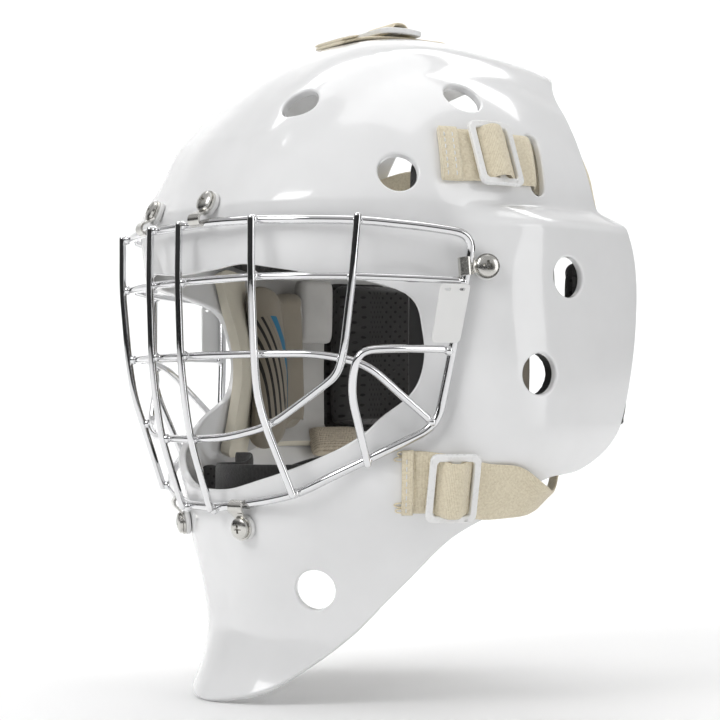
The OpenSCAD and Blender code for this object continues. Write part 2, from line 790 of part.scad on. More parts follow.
shell();
cage_perimeter();
cage_brow_bar();
cage_cross_bar();
cage_lower_hoop();
cage_center_bars();
cage_outer_bars();
cage_side_hoops();
cage_tags();
brow_clips();
side_clips();
chin_clips();
clip_screws();
clip_washers();
tee_nuts();
sweatband();
forehead_pad();
crown_pad();
temple_pad();  // left_temple_pad
mirror([1, 0, 0]) temple_pad();  // right_temple_pad
side_liner();  // left_side_liner
mirror([1, 0, 0]) side_liner();  // right_side_liner
cheek_pad();  // left_cheek_pad
mirror([1, 0, 0]) cheek_pad();  // right_cheek_pad
ear_pad();  // left_ear_pad
mirror([1, 0, 0]) ear_pad();  // right_ear_pad
jaw_pads();
chin_pad();
chin_snaps();
chin_cup();
chin_cup_strap();
top_strap();
side_straps();
lower_straps();
top_slider();
top_slider_wrap();
left_side_slider();
left_side_slider_wrap();
right_side_slider();
right_side_slider_wrap();
left_lower_slider();
left_lower_slider_wrap();
right_lower_slider();
right_lower_slider_wrap();
backplate();
backplate_pad();
strap_rivets();
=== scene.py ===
"""Goalie mask: glossy moulded shell, chrome wire cage, woven straps, padded liner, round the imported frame."""
import json
import math

import bmesh
import bpy
import numpy as np
from mathutils import Matrix, Vector
from mathutils.geometry import delaunay_2d_cdt


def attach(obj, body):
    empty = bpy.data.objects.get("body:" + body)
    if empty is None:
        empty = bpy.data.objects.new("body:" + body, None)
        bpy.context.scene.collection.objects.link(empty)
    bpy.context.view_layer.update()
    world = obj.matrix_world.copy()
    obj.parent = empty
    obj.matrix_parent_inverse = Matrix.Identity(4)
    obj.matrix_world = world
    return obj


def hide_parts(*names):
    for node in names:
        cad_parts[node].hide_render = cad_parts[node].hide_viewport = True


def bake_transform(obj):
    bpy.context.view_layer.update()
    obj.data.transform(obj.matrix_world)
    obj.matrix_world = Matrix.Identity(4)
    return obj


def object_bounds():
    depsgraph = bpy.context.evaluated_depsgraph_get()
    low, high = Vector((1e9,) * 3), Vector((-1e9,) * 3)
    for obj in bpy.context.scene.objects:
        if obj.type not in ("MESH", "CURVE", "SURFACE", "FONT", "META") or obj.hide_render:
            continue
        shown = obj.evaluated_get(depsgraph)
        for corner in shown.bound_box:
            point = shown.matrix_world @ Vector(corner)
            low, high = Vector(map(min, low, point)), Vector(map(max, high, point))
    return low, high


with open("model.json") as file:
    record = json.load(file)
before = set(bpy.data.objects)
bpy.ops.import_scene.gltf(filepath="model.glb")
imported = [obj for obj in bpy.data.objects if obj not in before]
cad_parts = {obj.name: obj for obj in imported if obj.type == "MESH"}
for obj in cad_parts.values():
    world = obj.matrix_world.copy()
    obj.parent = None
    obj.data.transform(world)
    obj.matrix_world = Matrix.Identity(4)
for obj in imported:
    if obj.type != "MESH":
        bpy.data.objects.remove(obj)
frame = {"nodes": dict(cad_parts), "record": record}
cad_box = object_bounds()
MM = 0.001
SIDES = (("left", 1), ("right", -1))

# ---- The shell's outer surface, as in the CAD: millimetres and degrees ----

AXIS_Y = 20.0
LOFT_A = np.array([-15, 0, 15, 32, 50, 62, 75, 90, 120, 150, 180, 210.0])
LOFT_Z = np.array([-157, -141, -124, -102, -80, -55, -30, 0, 30, 66.0])
LOFT_R = np.array([
    [107, 102,  92,  86,  84,  84,  84,  90, 110, 120],
    [ 97,  95,  88,  84,  83,  84,  86,  92, 110, 120],
    [ 92,  92,  86,  84,  84,  86,  88,  94, 112, 124],
    [ 94,  95,  88,  86,  87,  88,  90,  96, 116, 128],
    [ 99, 100,  96,  93,  93,  94,  96, 100, 120, 132],
    [101, 102, 103, 106, 107, 106, 103, 104, 122, 134],
    [106, 106, 109, 106, 101, 107, 104, 106, 124, 136],
    [111, 111, 115, 106,  97, 109, 105, 108, 126, 138],
    [114, 114, 119, 112, 105, 110, 104, 108, 128, 138],
    [116, 117, 123, 118, 113, 107, 103, 106, 126, 138.0],
])
DOME_Z, DOME_TOP = 66.0, 148.5
CREST_H = 4.0
WALL = 4.0
REAR_EDGE = [
    (86, 156), (84, 143), (78, 136), (70, 126), (68, 112), (67, 95), (68, 76), (71, 66), (79, 60), (84, 50),
    (86, 36), (85, 15), (82, -5), (76, -28), (68, -42), (54, -51), (32, -55), (18, -63), (5, -71), (-8, -80),
    (-25, -102), (-41, -124), (-59, -141), (-70, -148.5), (-82, -153), (-92, -156),
]
OPENING = [
    (0, 37), (22, 38), (44, 39.5), (62, 37), (76, 34), (86, 31.5), (89.5, 28), (90.5, 22), (89, 10), (88, -2),
    (86.5, -14), (84, -27), (81, -34), (75, -40), (64, -46), (52, -50.5), (36, -55), (18, -59), (0, -60),
]
VENTS = [(30.5, 108.9), (78.5, 115.5), (57.7, 78.4), (98.7, 34.5), (89.8, -8.4), (33.2, -103.5)]
VENT_R = 9.0
SIDE_SLOT, TOP_SLOT = (32.0, 85.5), (0.0, 46.0)
SLOT_W, SLOT_L, SIDE_SLOT_TILT = 8.0, 29.0, 8.0


def unit(v):
    return v / np.maximum(np.linalg.norm(v, axis=-1, keepdims=True), 1e-9)


def smooth(a, b, x):
    t = np.clip((x - a) / (b - a), 0, 1)
    return t * t * (3 - 2 * t)


def hermite(xs, rows, x, top_slope=None, paired=False):
    """Smooth curves through the knots xs, one per row, at x. Paired rows are one curve for each x."""
    h = np.diff(xs)
    d = np.diff(rows, axis=-1) / h
    w = h[1:] / (h[1:] + h[:-1])
    middle = d[..., :-1] * w + d[..., 1:] * (1 - w)
    last = d[..., -1:] if top_slope is None else d[..., -1:] * 0 + top_slope
    m = np.concatenate([d[..., :1], middle, last], -1)
    i = np.clip(np.searchsorted(xs, x, side="right") - 1, 0, len(xs) - 2)
    t = (x - xs[i]) / h[i]
    if paired:
        n = np.arange(len(x))
        y0, y1, m0, m1 = rows[n, i], rows[n, i + 1], m[n, i], m[n, i + 1]
    else:
        y0, y1, m0, m1 = rows[:, i], rows[:, i + 1], m[:, i], m[:, i + 1]
    return ((2 * t**3 - 3 * t**2 + 1) * y0 + (t**3 - 2 * t**2 + t) * h[i] * m0
            + (3 * t**2 - 2 * t**3) * y1 + (t**3 - t**2) * h[i] * m1)


def surface(a, z):
    """Points of the outer surface at angles a round the axis and heights z."""
    a, z = np.broadcast_arrays(np.asarray(a, float), np.asarray(z, float))
    shape, a, z = a.shape, a.ravel(), z.ravel()
    b = np.abs(a)
    rows = hermite(LOFT_Z, LOFT_R.T, np.minimum(z, DOME_Z), top_slope=0.0).T
    r = hermite(LOFT_A, np.column_stack([rows[:, 1], rows, rows[:, -2]]), b, paired=True)
    r = r + 12 * smooth(66, 92, b) * smooth(68, 58, z) * smooth(-62, -30, z)
    t = np.clip((z - DOME_Z) / (DOME_TOP - DOME_Z), 0, 1)
    r = r * np.maximum(1 - t ** (1.08 + 0.49 * smooth(25, 80, b)), 0) ** (1 / 2.4)
    p = np.stack([r * np.sin(np.radians(a)), AXIS_Y - r * np.cos(np.radians(a)), z], -1)
    half = 60 - 16 * smooth(-60, -92, p[:, 1])
    rise = CREST_H * smooth(half + 8, half - 10, np.abs(p[:, 0])) * smooth(72, 100, z)
    up = unit(np.stack([0.6 * p[:, 0], 0.6 * (p[:, 1] - AXIS_Y), z - 30], -1))
    return (p + up * rise[:, None]).reshape(shape + (3,))


# The surface is also laid out flat on a disc round its pole, so that it has no seam
DISC_R = 110.0


def to_disc(a, z):
    dome = np.arccos(np.clip((z - DOME_Z) / (DOME_TOP - DOME_Z), 0, 1)) / (math.pi / 2)
    rho = DISC_R * np.where(z > DOME_Z, dome, np.exp((DOME_Z - z) / DISC_R))
    return np.stack([rho * np.cos(np.radians(a)), rho * np.sin(np.radians(a))], -1)


def on_disc(uv):
    s = np.maximum(np.hypot(uv[..., 0], uv[..., 1]) / DISC_R, 1e-6)
    dome = DOME_Z + (DOME_TOP - DOME_Z) * np.cos(np.minimum(s, 1) * math.pi / 2)
    z = np.where(s < 1, dome, DOME_Z - DISC_R * np.log(s))
    return surface(np.degrees(np.arctan2(uv[..., 1], uv[..., 0])), z)


def normals_on_disc(uv, h=0.6):
    du, dv = np.array([h, 0]), np.array([0, h])
    return unit(np.cross(on_disc(uv + dv) - on_disc(uv - dv), on_disc(uv + du) - on_disc(uv - du))) * -1


def off(a, z, d):
    """Points at depth d over the surface, at angles a and heights z."""
    uv = to_disc(np.asarray(a, float), np.asarray(z, float))
    return on_disc(uv) + normals_on_disc(uv) * np.asarray(d, float)[..., None]


def solve(start, target, axes):
    """Disc places where the surface's coordinates along two axes are the target ones."""
    uv = np.array(start, float)
    for _ in range(14):
        p = on_disc(uv)
        miss = target - p @ axes.T
        h = 0.05
        ju = (on_disc(uv + [h, 0]) - p) @ axes.T / h
        jv = (on_disc(uv + [0, h]) - p) @ axes.T / h
        det = ju[:, 0] * jv[:, 1] - ju[:, 1] * jv[:, 0]
        step = np.stack([miss[:, 0] * jv[:, 1] - miss[:, 1] * jv[:, 0],
                         ju[:, 0] * miss[:, 1] - ju[:, 1] * miss[:, 0]], -1) / det[:, None]
        uv = uv + np.clip(step, -12, 12)
    return uv


def spline(points, step, closed=False):
    """Evenly spaced points of a smooth curve through the given ones."""
    p = np.array(points, float)
    p = np.vstack([p[-1], p, p[:2]]) if closed else np.vstack([2 * p[0] - p[1], p, 2 * p[-1] - p[-2]])
    out = []
    for a, b, c, d in zip(p[:-3], p[1:-2], p[2:-1], p[3:]):
        k = [0.0]
        for q, r in ((a, b), (b, c), (c, d)):
            k.append(k[-1] + max(np.linalg.norm(r - q), 1e-6) ** 0.5)
        t = np.linspace(k[1], k[2], 24, endpoint=False)[:, None]
        ab = (k[1] - t) / (k[1] - k[0]) * a + (t - k[0]) / (k[1] - k[0]) * b
        bc = (k[2] - t) / (k[2] - k[1]) * b + (t - k[1]) / (k[2] - k[1]) * c
        cd = (k[3] - t) / (k[3] - k[2]) * c + (t - k[2]) / (k[3] - k[2]) * d
        abc = (k[2] - t) / (k[2] - k[0]) * ab + (t - k[0]) / (k[2] - k[0]) * bc
        bcd = (k[3] - t) / (k[3] - k[1]) * bc + (t - k[1]) / (k[3] - k[1]) * cd
        out.append((k[2] - t) / (k[2] - k[1]) * abc + (t - k[1]) / (k[2] - k[1]) * bcd)
    out = np.vstack(out + [p[1:2] if closed else p[-2:-1]])
    return resampled(out, step)[:-1] if closed else resampled(out, step)


def run_length(p):
    """Length of the path up to each of its points."""
    return np.concatenate([[0], np.cumsum(np.linalg.norm(np.diff(p, axis=0), axis=1))])


def resampled(p, step):
    length = run_length(p)
    s = np.linspace(0, length[-1], max(int(round(length[-1] / step)), 3) + 1)
    return np.stack([np.interp(s, length, p[:, k]) for k in range(p.shape[1])], -1)


# ---- Mesh making ----


def add_mesh(name, points, faces, material, normals=None, smooth_faces=True):
    """A mesh object from points in millimetres."""
    mesh = bpy.data.meshes.new(name)
    mesh.from_pydata((np.asarray(points) * MM).tolist(), [], [list(map(int, f)) for f in faces])
    mesh.validate()
    mesh.polygons.foreach_set("use_smooth", [smooth_faces] * len(mesh.polygons))
    if normals is not None:
        mesh.normals_split_custom_set_from_vertices(np.asarray(normals).tolist())
    obj = bpy.data.objects.new(name, mesh)
    bpy.context.scene.collection.objects.link(obj)
    if material:
        mesh.materials.append(material)
    return obj


def inside(points, loop):
    x, y = points[:, 0:1], points[:, 1:2]
    x0, y0 = loop[:, 0], loop[:, 1]
    x1, y1 = np.roll(x0, -1), np.roll(y0, -1)
    crosses = (y0 > y) != (y1 > y)
    at_x = (x1 - x0) * (y - y0) / np.where(y1 == y0, 1e-12, y1 - y0) + x0
    return (crosses & (x < at_x)).sum(1) % 2 == 1


def between_loops(points, outer, holes):
    """Which points lie inside the outer loop and outside every hole."""
    keep = inside(points, outer)
    for hole in holes:
        keep &= ~inside(points, hole)
    return keep


def loop_edges(loops):
    """Edges that close each loop, for loops whose points follow on each other in one list."""
    edges, start = [], 0
    for loop in loops:
        edges += [(start + k, start + (k + 1) % len(loop)) for k in range(len(loop))]
        start += len(loop)
    return edges


def two_skins(faces, count):
    """The faces, and their reverse on a second layer of count points."""
    return list(faces) + [tuple(k + count for k in face[::-1]) for face in faces]


# ---- Shell ----

LOOP_STEP = 2.0
SHELL_STEP = 5.0
FILLET = 1.1
CDT_GAP = 1e-7


def both_halves(half):
    """Closed loop on the disc from the half whose ends lie on the middle plane."""
    return np.vstack([half, (half[1:-1] * [1, -1])[::-1]])


def rear_loop():
    """Where the rear edge's side outline meets the surface, by bisection in the angle."""
    edge = spline(REAR_EDGE, 0.4)
    y, z = edge[:, 0], edge[:, 1]

    def side_y(a):
        level = z.copy()
        for _ in range(6):
            level = np.minimum(level + z - surface(a, level)[:, 2], DOME_TOP - 1e-3)
        return surface(a, level), level

    low, high = np.zeros(len(y)), np.full(len(y), 180.0)
    for _ in range(40):
        middle = (low + high) / 2
        over = side_y(middle)[0][:, 1] > y
        low, high = np.where(over, low, middle), np.where(over, middle, high)
    p, level = side_y(low)
    good = (np.abs(p[:, 1] - y) < 0.05) & (np.abs(p[:, 2] - z) < 0.05)
    uv = to_disc(low, level)[good]
    ends = [to_disc(np.array([angle]), np.array([side])) for angle, side in (
        (180.0, level[good][0]), (0.0, level[good][-1]))]
    uv = np.vstack([ends[0], uv, ends[1]])
    p = on_disc(uv)
    length = run_length(p)
    s = np.linspace(0, length[-1], int(length[-1] / LOOP_STEP) + 1)
    return both_halves(np.stack([np.interp(s, length, uv[:, k]) for k in range(2)], -1))


def opening_loop():
    half = [p for p in OPENING if p[0] > 0]
    other_half = [(-x, z) for x, z in half[::-1]]
    outline = spline([OPENING[0], *half, OPENING[-1], *other_half], LOOP_STEP, closed=True)
    start = to_disc(np.degrees(np.arcsin(np.clip(outline[:, 0] / 108, -0.9, 0.9))), outline[:, 1])
    return solve(start, outline, np.array([[1, 0, 0], [0, 0, 1.0]]))


def surface_frame(a, z):
    """The place, across, up and outward directions at a point of the surface."""
    uv = to_disc(np.array([float(a)]), np.array([float(z)]))
    p, n = on_disc(uv)[0], normals_on_disc(uv)[0]
    across = unit(np.cross([0, 0, 1.0], n))
    return p, across, np.cross(n, across), n


def round_loop(a, z, radius):
    p, across, up, _ = surface_frame(a, z)
    turn = np.linspace(0, 2 * math.pi, 48, endpoint=False)
    target = radius * np.stack([np.cos(turn), np.sin(turn)], -1) + [p @ across, p @ up]
    start = np.repeat(to_disc(np.array([float(a)]), np.array([float(z)])), len(turn), 0)
    return solve(start, target, np.stack([across, up]))


def stadium(length, width):
    turn = np.linspace(-90, 90, 12)
    arc = np.stack([np.cos(np.radians(turn)), np.sin(np.radians(turn))], -1) * width / 2
    cap = arc + [(length - width) / 2, 0]
    return resampled(np.vstack([cap, -cap, cap[:1]]), 1.5)[:-1]


def side_slot_loop():
    tilt = math.radians(SIDE_SLOT_TILT)
    s = stadium(SLOT_L, SLOT_W)
    target = np.stack([
        SIDE_SLOT[0] + s[:, 0] * math.sin(tilt) - s[:, 1] * math.cos(tilt),
        SIDE_SLOT[1] + s[:, 0] * math.cos(tilt) + s[:, 1] * math.sin(tilt)], -1)
    start = np.repeat(to_disc(np.array([97.0]), np.array([SIDE_SLOT[1]])), len(s), 0)
    return solve(start, target, np.array([[0, 1, 0], [0, 0, 1.0]]))


def top_slot_loop():
    s = stadium(SLOT_L, SLOT_W) + TOP_SLOT
    start = np.repeat(to_disc(np.array([180.0]), np.array([140.0])), len(s), 0)
    return solve(start, s, np.array([[1, 0, 0], [0, 1, 0.0]]))


def mirrored(loop):
    return (loop * [1, -1])[::-1]


def shell_mesh(material):
    rear = rear_loop()
    holes = [opening_loop(), top_slot_loop()]
    for loop in [side_slot_loop()] + [round_loop(a, z, VENT_R) for a, z in VENTS]:
        holes += [loop, mirrored(loop)]
    loops = [rear, *holes]
    edge_uv = np.vstack(loops)
    # Rows of points over the surface, left out near the edges
    inner = [np.zeros((1, 2))]
    heights = np.concatenate([np.arange(-155, DOME_Z, SHELL_STEP),
                              DOME_Z + (DOME_TOP - DOME_Z) * np.sin(np.linspace(0.02, 1.5, 27))])
    for k, z in enumerate(heights):
        around = surface(np.array([90.0]), z)[0, 0]
        count = max(int(2 * math.pi * around / SHELL_STEP), 8)
        inner.append(to_disc((np.arange(count) + 0.5 * (k % 2)) * 360 / count, np.full(count, z)))
    inner = np.vstack(inner)
    inner = inner[between_loops(inner, rear, holes)]
    edge_p, inner_p = on_disc(edge_uv), on_disc(inner)
    nearest = np.array([np.min(np.sum((edge_p - q) ** 2, 1)) for q in inner_p])
    uv = np.vstack([edge_uv, inner[nearest > (0.62 * SHELL_STEP) ** 2]])
    borders, start = [], 0
    for loop in loops:
        borders.append(np.arange(start, start + len(loop)))
        start += len(loop)
    made = delaunay_2d_cdt([Vector(q) for q in uv], loop_edges(loops), [], 0, CDT_GAP)
    place = {old: new for new, olds in enumerate(made[3]) for old in olds}
    order = np.array([place[k] for k in range(len(uv))])
    back = np.full(len(made[0]), -1)
    back[order] = np.arange(len(uv))
    tris = back[np.array(made[2])]
    tris = tris[(tris >= 0).all(1)]
    tris = tris[between_loops(uv[tris].mean(1), rear, holes)]

    p, n = on_disc(uv), normals_on_disc(uv)
    turned = np.cross(p[tris[:, 1]] - p[tris[:, 0]], p[tris[:, 2]] - p[tris[:, 0]])
    facing = np.einsum("ij,ij->i", turned, n[tris[:, 0]])
    tris = np.where((facing < 0)[:, None], tris[:, ::-1], tris)
    count = len(p)
    points = [p.copy(), p - WALL * n]
    normals = [n, -n]
    faces = [tuple(t) for t in tris] + [tuple(t[::-1] + count) for t in tris]
    total = 2 * count
    for k, border in enumerate(borders):
        q, m = p[border], n[border]
        tangent = unit(np.roll(q, -1, 0) - np.roll(q, 1, 0))
        out = unit(np.cross(tangent, m))
        centre = q.mean(0)
        towards = (q - [0, -60, 20]) if k == 0 else (centre - q)
        if np.sum(out * towards) < 0:
            out = -out
        points[0][border] -= FILLET * out
        points[1][border] -= FILLET * out
        rows, angles = [border], np.radians([22.5, 45, 67.5, 90])
        for depth, turns, sign in ((0, angles, 1), (WALL, angles[::-1], -1)):
            for turn in turns:
                drop = depth + sign * FILLET * (1 - math.cos(turn))
                points.append(q - FILLET * (1 - math.sin(turn)) * out - drop * m)
                normals.append(math.sin(turn) * out + sign * math.cos(turn) * m)
                rows.append(np.arange(total, total + len(q)))
                total += len(q)
        rows.append(border + count)
        # The rounded rim between the skins faces away from the wall
        flip = np.sum(np.cross(tangent, out) * m) > 0
        for a, b in zip(rows[:-1], rows[1:]):
            for i in range(len(q)):
                j = (i + 1) % len(q)
                face = (a[i], b[i], b[j], a[j])
                faces.append(face[::-1] if flip else face)
    return add_mesh("shell_skin", np.vstack(points), faces, material, np.vstack(normals))


# ---- Materials ----


def new_material(name, color, roughness, metallic=0.0, **sockets):
    """A Principled material; further keywords set its sockets. Returns the material and its shader."""
    material = bpy.data.materials.new(name)
    material.use_nodes = True
    shader = material.node_tree.nodes["Principled BSDF"]
    shader.inputs["Base Color"].default_value = (*color, 1)
    shader.inputs["Roughness"].default_value = roughness
    shader.inputs["Metallic"].default_value = metallic
    for key, value in sockets.items():
        shader.inputs[key.replace("_", " ")].default_value = value
    return material, shader


def node(material, kind, **settings):
    made = material.node_tree.nodes.new(kind)
    for key, value in settings.items():
        if key in made.inputs:
            made.inputs[key].default_value = value
        else:
            setattr(made, key, value)
    return made


def link(material, a, b):
    material.node_tree.links.new(a, b)


def ramp(material, source, stops):
    made = node(material, "ShaderNodeValToRGB")
    elements = made.color_ramp.elements
    while len(elements) < len(stops):
        elements.new(0.5)
    for element, (where, color) in zip(elements, stops):
        element.position = where
        element.color = (*color, 1)
    link(material, source, made.inputs["Fac"])
    return made.outputs["Color"]


def uneven_gloss(material, shader, source, roughness, low, high):
    """Roughness between two (place, share) stops: the source's place, and the share of the roughness there."""
    stops = [(place, [roughness * share] * 3) for place, share in (low, high)]
    link(material, ramp(material, source, stops), shader.inputs["Roughness"])


def bump(material, shader, height, distance, strength=0.5):
    made = node(material, "ShaderNodeBump", Strength=strength, Distance=distance)
    link(material, height, made.inputs["Height"])
    link(material, made.outputs["Normal"], shader.inputs["Normal"])
    return made


def noise(material, scale, detail=3.0, roughness=0.5):
    place = node(material, "ShaderNodeTexCoord")
    made = node(material, "ShaderNodeTexNoise", Scale=scale, Detail=detail, Roughness=roughness)
    link(material, place.outputs["Object"], made.inputs["Vector"])
    return made.outputs["Fac"]


def gloss_plastic(name, color, roughness, patch=60.0, coat=0.6):
    """Moulded plastic with faint moulding waviness and fine dust and scuffs in its gloss."""
    material, shader = new_material(name, color, roughness, Coat_Weight=coat, Coat_Roughness=0.04, IOR=1.5)
    tone = ramp(material, noise(material, patch, 2), [(0.3, [c * 0.975 for c in color]), (0.7, color)])
    link(material, tone, shader.inputs["Base Color"])
    uneven_gloss(material, shader, noise(material, 420, 5, 0.65), roughness, (0.35, 0.8), (0.75, 1.35))
    bump(material, shader, noise(material, 25, 1), 0.0004, 0.06)
    return material


def metal(name, color, roughness):
    material, shader = new_material(name, color, roughness, metallic=1.0)
    uneven_gloss(material, shader, noise(material, 900, 4, 0.7), roughness, (0.3, 0.7), (0.75, 1.5))
    bump(material, shader, noise(material, 140, 2), 0.0003, 0.08)
    return material


def cloth_place(material):
    """Along and across coordinates that the soft pieces carry, in metres."""
    made = node(material, "ShaderNodeAttribute", attribute_name="cloth")
    split = node(material, "ShaderNodeSeparateXYZ")
    link(material, made.outputs["Vector"], split.inputs[0])
    return made.outputs["Vector"], split.outputs["X"], split.outputs["Y"]


def math_node(material, operation, a, b=None, c=None):
    made = node(material, "ShaderNodeMath", operation=operation)
    for k, value in enumerate((a, b, c)):
        if value is None:
            continue
        if isinstance(value, (int, float)):
            made.inputs[k].default_value = value
        else:
            link(material, value, made.inputs[k])
    return made.outputs[0]


def wave(material, u, v, pitch_u, pitch_v):
    """Sine ridges that run at a slant across the cloth."""
    along = math_node(material, "MULTIPLY", u, 2 * math.pi / pitch_u)
    both = math_node(material, "MULTIPLY_ADD", v, 2 * math.pi / pitch_v, along)
    return math_node(material, "SINE", both)


def crossed(material, u, v, pitch_u, pitch_v):
    """Two sets of slanting ridges multiplied, as in a woven or knitted cloth."""
    return math_node(material, "MULTIPLY", wave(material, u, v, pitch_u, pitch_v),
                     wave(material, u, v, pitch_u, -pitch_v))


def woven(name, dark, light, pitch=0.0012, depth=0.0005):
    """Knitted elastic webbing: crossed slanting ridges, uneven yarn tone and a soft sheen."""
    material, shader = new_material(name, light, 0.88, Sheen_Weight=0.25, Sheen_Roughness=0.5)
    _, u, v = cloth_place(material)
    grain = noise(material, 900, 3)
    shift = math_node(material, "MULTIPLY", math_node(material, "SUBTRACT", grain, 0.5), 0.0007)
    u = math_node(material, "ADD", u, shift)
    weave = math_node(material, "MULTIPLY_ADD", crossed(material, u, v, pitch, pitch * 1.3), 0.35, 0.5)
    mixed = math_node(material, "MULTIPLY_ADD", math_node(material, "SUBTRACT", grain, 0.5), 0.9, weave)
    stops = [(0.15, dark), (0.55, light), (0.9, [min(c * 1.1, 1) for c in light])]
    link(material, ramp(material, mixed, stops), shader.inputs["Base Color"])
    bump(material, shader, mixed, depth, 0.7)
    return material


def perforated(name, color, hole, pitch=0.0038):
    """Liner cloth with a staggered grid of punched dots over a fine mesh weave."""
    material, shader = new_material(name, color, 0.75, Sheen_Weight=0.1)
    place, u, v = cloth_place(material)
    dots = node(material, "ShaderNodeTexVoronoi", Scale=1 / pitch, Randomness=0.0, voronoi_dimensions="2D")
    turned = node(material, "ShaderNodeMapping", Rotation=(0, 0, math.radians(45)))
    link(material, place, turned.inputs["Vector"])
    link(material, turned.outputs["Vector"], dots.inputs["Vector"])
    punched = ramp(material, dots.outputs["Distance"], [(0.17, (0, 0, 0)), (0.24, (1, 1, 1))])
    level = math_node(material, "MULTIPLY_ADD", crossed(material, u, v, 0.0009, 0.0011), 0.06, punched)
    tone = ramp(material, math_node(material, "MULTIPLY_ADD", noise(material, 60, 3), 0.35, level),
                [(0.1, hole), (0.75, color), (1.0, [min(c * 1.5 + 0.004, 1) for c in color])])
    link(material, tone, shader.inputs["Base Color"])
    bump(material, shader, level, 0.0004, 0.6)
    return material


def within(material, value, low, high):
    """1 where the value lies between low and high, else 0."""
    return math_node(material, "MULTIPLY", math_node(material, "GREATER_THAN", value, low),
                     math_node(material, "LESS_THAN", value, high))


def liner_cloth(name, color, stripes=False):
    """Smooth liner cloth with a fine grain. stripes adds slanting printed lines and a coloured one."""
    material, shader = new_material(name, color, 0.7, Sheen_Weight=0.15)
    _, u, v = cloth_place(material)
    tone = ramp(material, noise(material, 45, 4), [(0.3, [c * 0.85 for c in color]), (0.7, color)])
    if stripes:
        slant = math_node(material, "MULTIPLY_ADD", v, 0.32, u)
        tall = within(material, v, -0.024, 0.020)
        for low, high, shade, pitch in ((-0.036, -0.0215, (0.012, 0.011, 0.01), 0.0036),
                                        (-0.0195, -0.0155, (0.01, 0.16, 0.30), 0)):
            mask = math_node(material, "MULTIPLY", within(material, slant, low, high), tall)
            if pitch:
                line = math_node(material, "LESS_THAN", math_node(material, "FRACT", math_node(
                    material, "DIVIDE", slant, pitch)), 0.4)
                mask = math_node(material, "MULTIPLY", mask, line)
            mixer = node(material, "ShaderNodeMixRGB")
            mixer.inputs["Color2"].default_value = (*shade, 1)
            link(material, mask, mixer.inputs["Fac"])
            link(material, tone, mixer.inputs["Color1"])
            tone = mixer.outputs["Color"]
    link(material, tone, shader.inputs["Base Color"])
    bump(material, shader, crossed(material, u, v, 0.0008, 0.001), 0.00015, 0.4)
    return material


WHITE = gloss_plastic("shell_white", (0.84, 0.842, 0.846), 0.16)
CHROME = metal("chrome_wire", (0.78, 0.78, 0.79), 0.06)
NICKEL = metal("nickel", (0.62, 0.61, 0.58), 0.2)
NYLON = gloss_plastic("nylon", (0.82, 0.82, 0.81), 0.38, coat=0.0)
SLIDER = gloss_plastic("slider_plastic", (0.86, 0.86, 0.855), 0.3, coat=0.2)
WEBBING = woven("webbing", (0.66, 0.56, 0.38), (0.86, 0.78, 0.60), pitch=0.001)
DARK_WEBBING = woven("dark_webbing", (0.008, 0.008, 0.008), (0.03, 0.029, 0.028), pitch=0.001)
KNIT = woven("knit_fabric", (0.30, 0.24, 0.17), (0.58, 0.51, 0.40), pitch=0.0016)
BLACK = perforated("black_fabric", (0.022, 0.021, 0.021), (0.003, 0.003, 0.003))
SMOOTH_BLACK = liner_cloth("black_panel", (0.018, 0.017, 0.017))
TAN = liner_cloth("liner_tan", (0.30, 0.265, 0.21), stripes=True)
CREAM = liner_cloth("liner_cream", (0.82, 0.77, 0.64))
# Pale grey standing for the white shell's inner wall: painted shade, the wall as it looks in shadow between the
# cheek and ear pads.
SHELL_WALL_SHADE_GREY = liner_cloth("shell_wall_painted_shade", (0.60, 0.59, 0.57))
BY_SLOT = {
    "shell_plastic": WHITE, "chrome_wire": CHROME, "nickel": NICKEL, "nylon": NYLON, "tag_plastic": NYLON,
    "slider_plastic": SLIDER, "webbing": WEBBING, "black_fabric": BLACK, "liner_fabric": TAN,
    "knit_fabric": KNIT,
}
for part in frame["record"]["subparts"]:
    mesh = frame["nodes"][part["node"]].data
    mesh.materials.clear()
    mesh.materials.append(BY_SLOT[part["material_slot"]])

# ---- Shape helpers ----


def both_sides(points):
    """The points and their mirror image in the middle plane."""
    return [points, np.asarray(points) * [-1, 1, 1]]


def finished(obj, body, replaces=()):
    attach(obj, body)
    if replaces:
        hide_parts(*replaces)
    return obj


def flipped(faces):
    return [tuple(face)[::-1] for face in faces]


def round_corners(points, bend):
    """Path with its corners rounded off by a curve that starts bend before each."""
    p = np.array(points, float)
    out = [p[0]]
    for a, b, c in zip(p[:-2], p[1:-1], p[2:]):
        u, v = unit(a - b), unit(c - b)
        reach = min(bend, np.linalg.norm(a - b) * 0.48, np.linalg.norm(c - b) * 0.48)
        t = np.linspace(0, 1, 9)[:, None]
        out += list((1 - t) ** 2 * (b + u * reach) + 2 * t * (1 - t) * b + t ** 2 * (b + v * reach))
    out.append(p[-1])
    return resampled(np.array(out), 2.0)


def frames_along(path, closed):
    """Directions across a path that don't twist more than they must."""
    tangent = unit(np.roll(path, -1, 0) - np.roll(path, 1, 0) if closed else np.gradient(path, axis=0))
    side = [unit(np.cross(tangent[0], [0.3, 0.2, 0.9]))]
    for t in tangent[1:]:
        side.append(unit(side[-1] - t * (side[-1] @ t)))
    side = np.array(side)
    return tangent, side, np.cross(tangent, side)


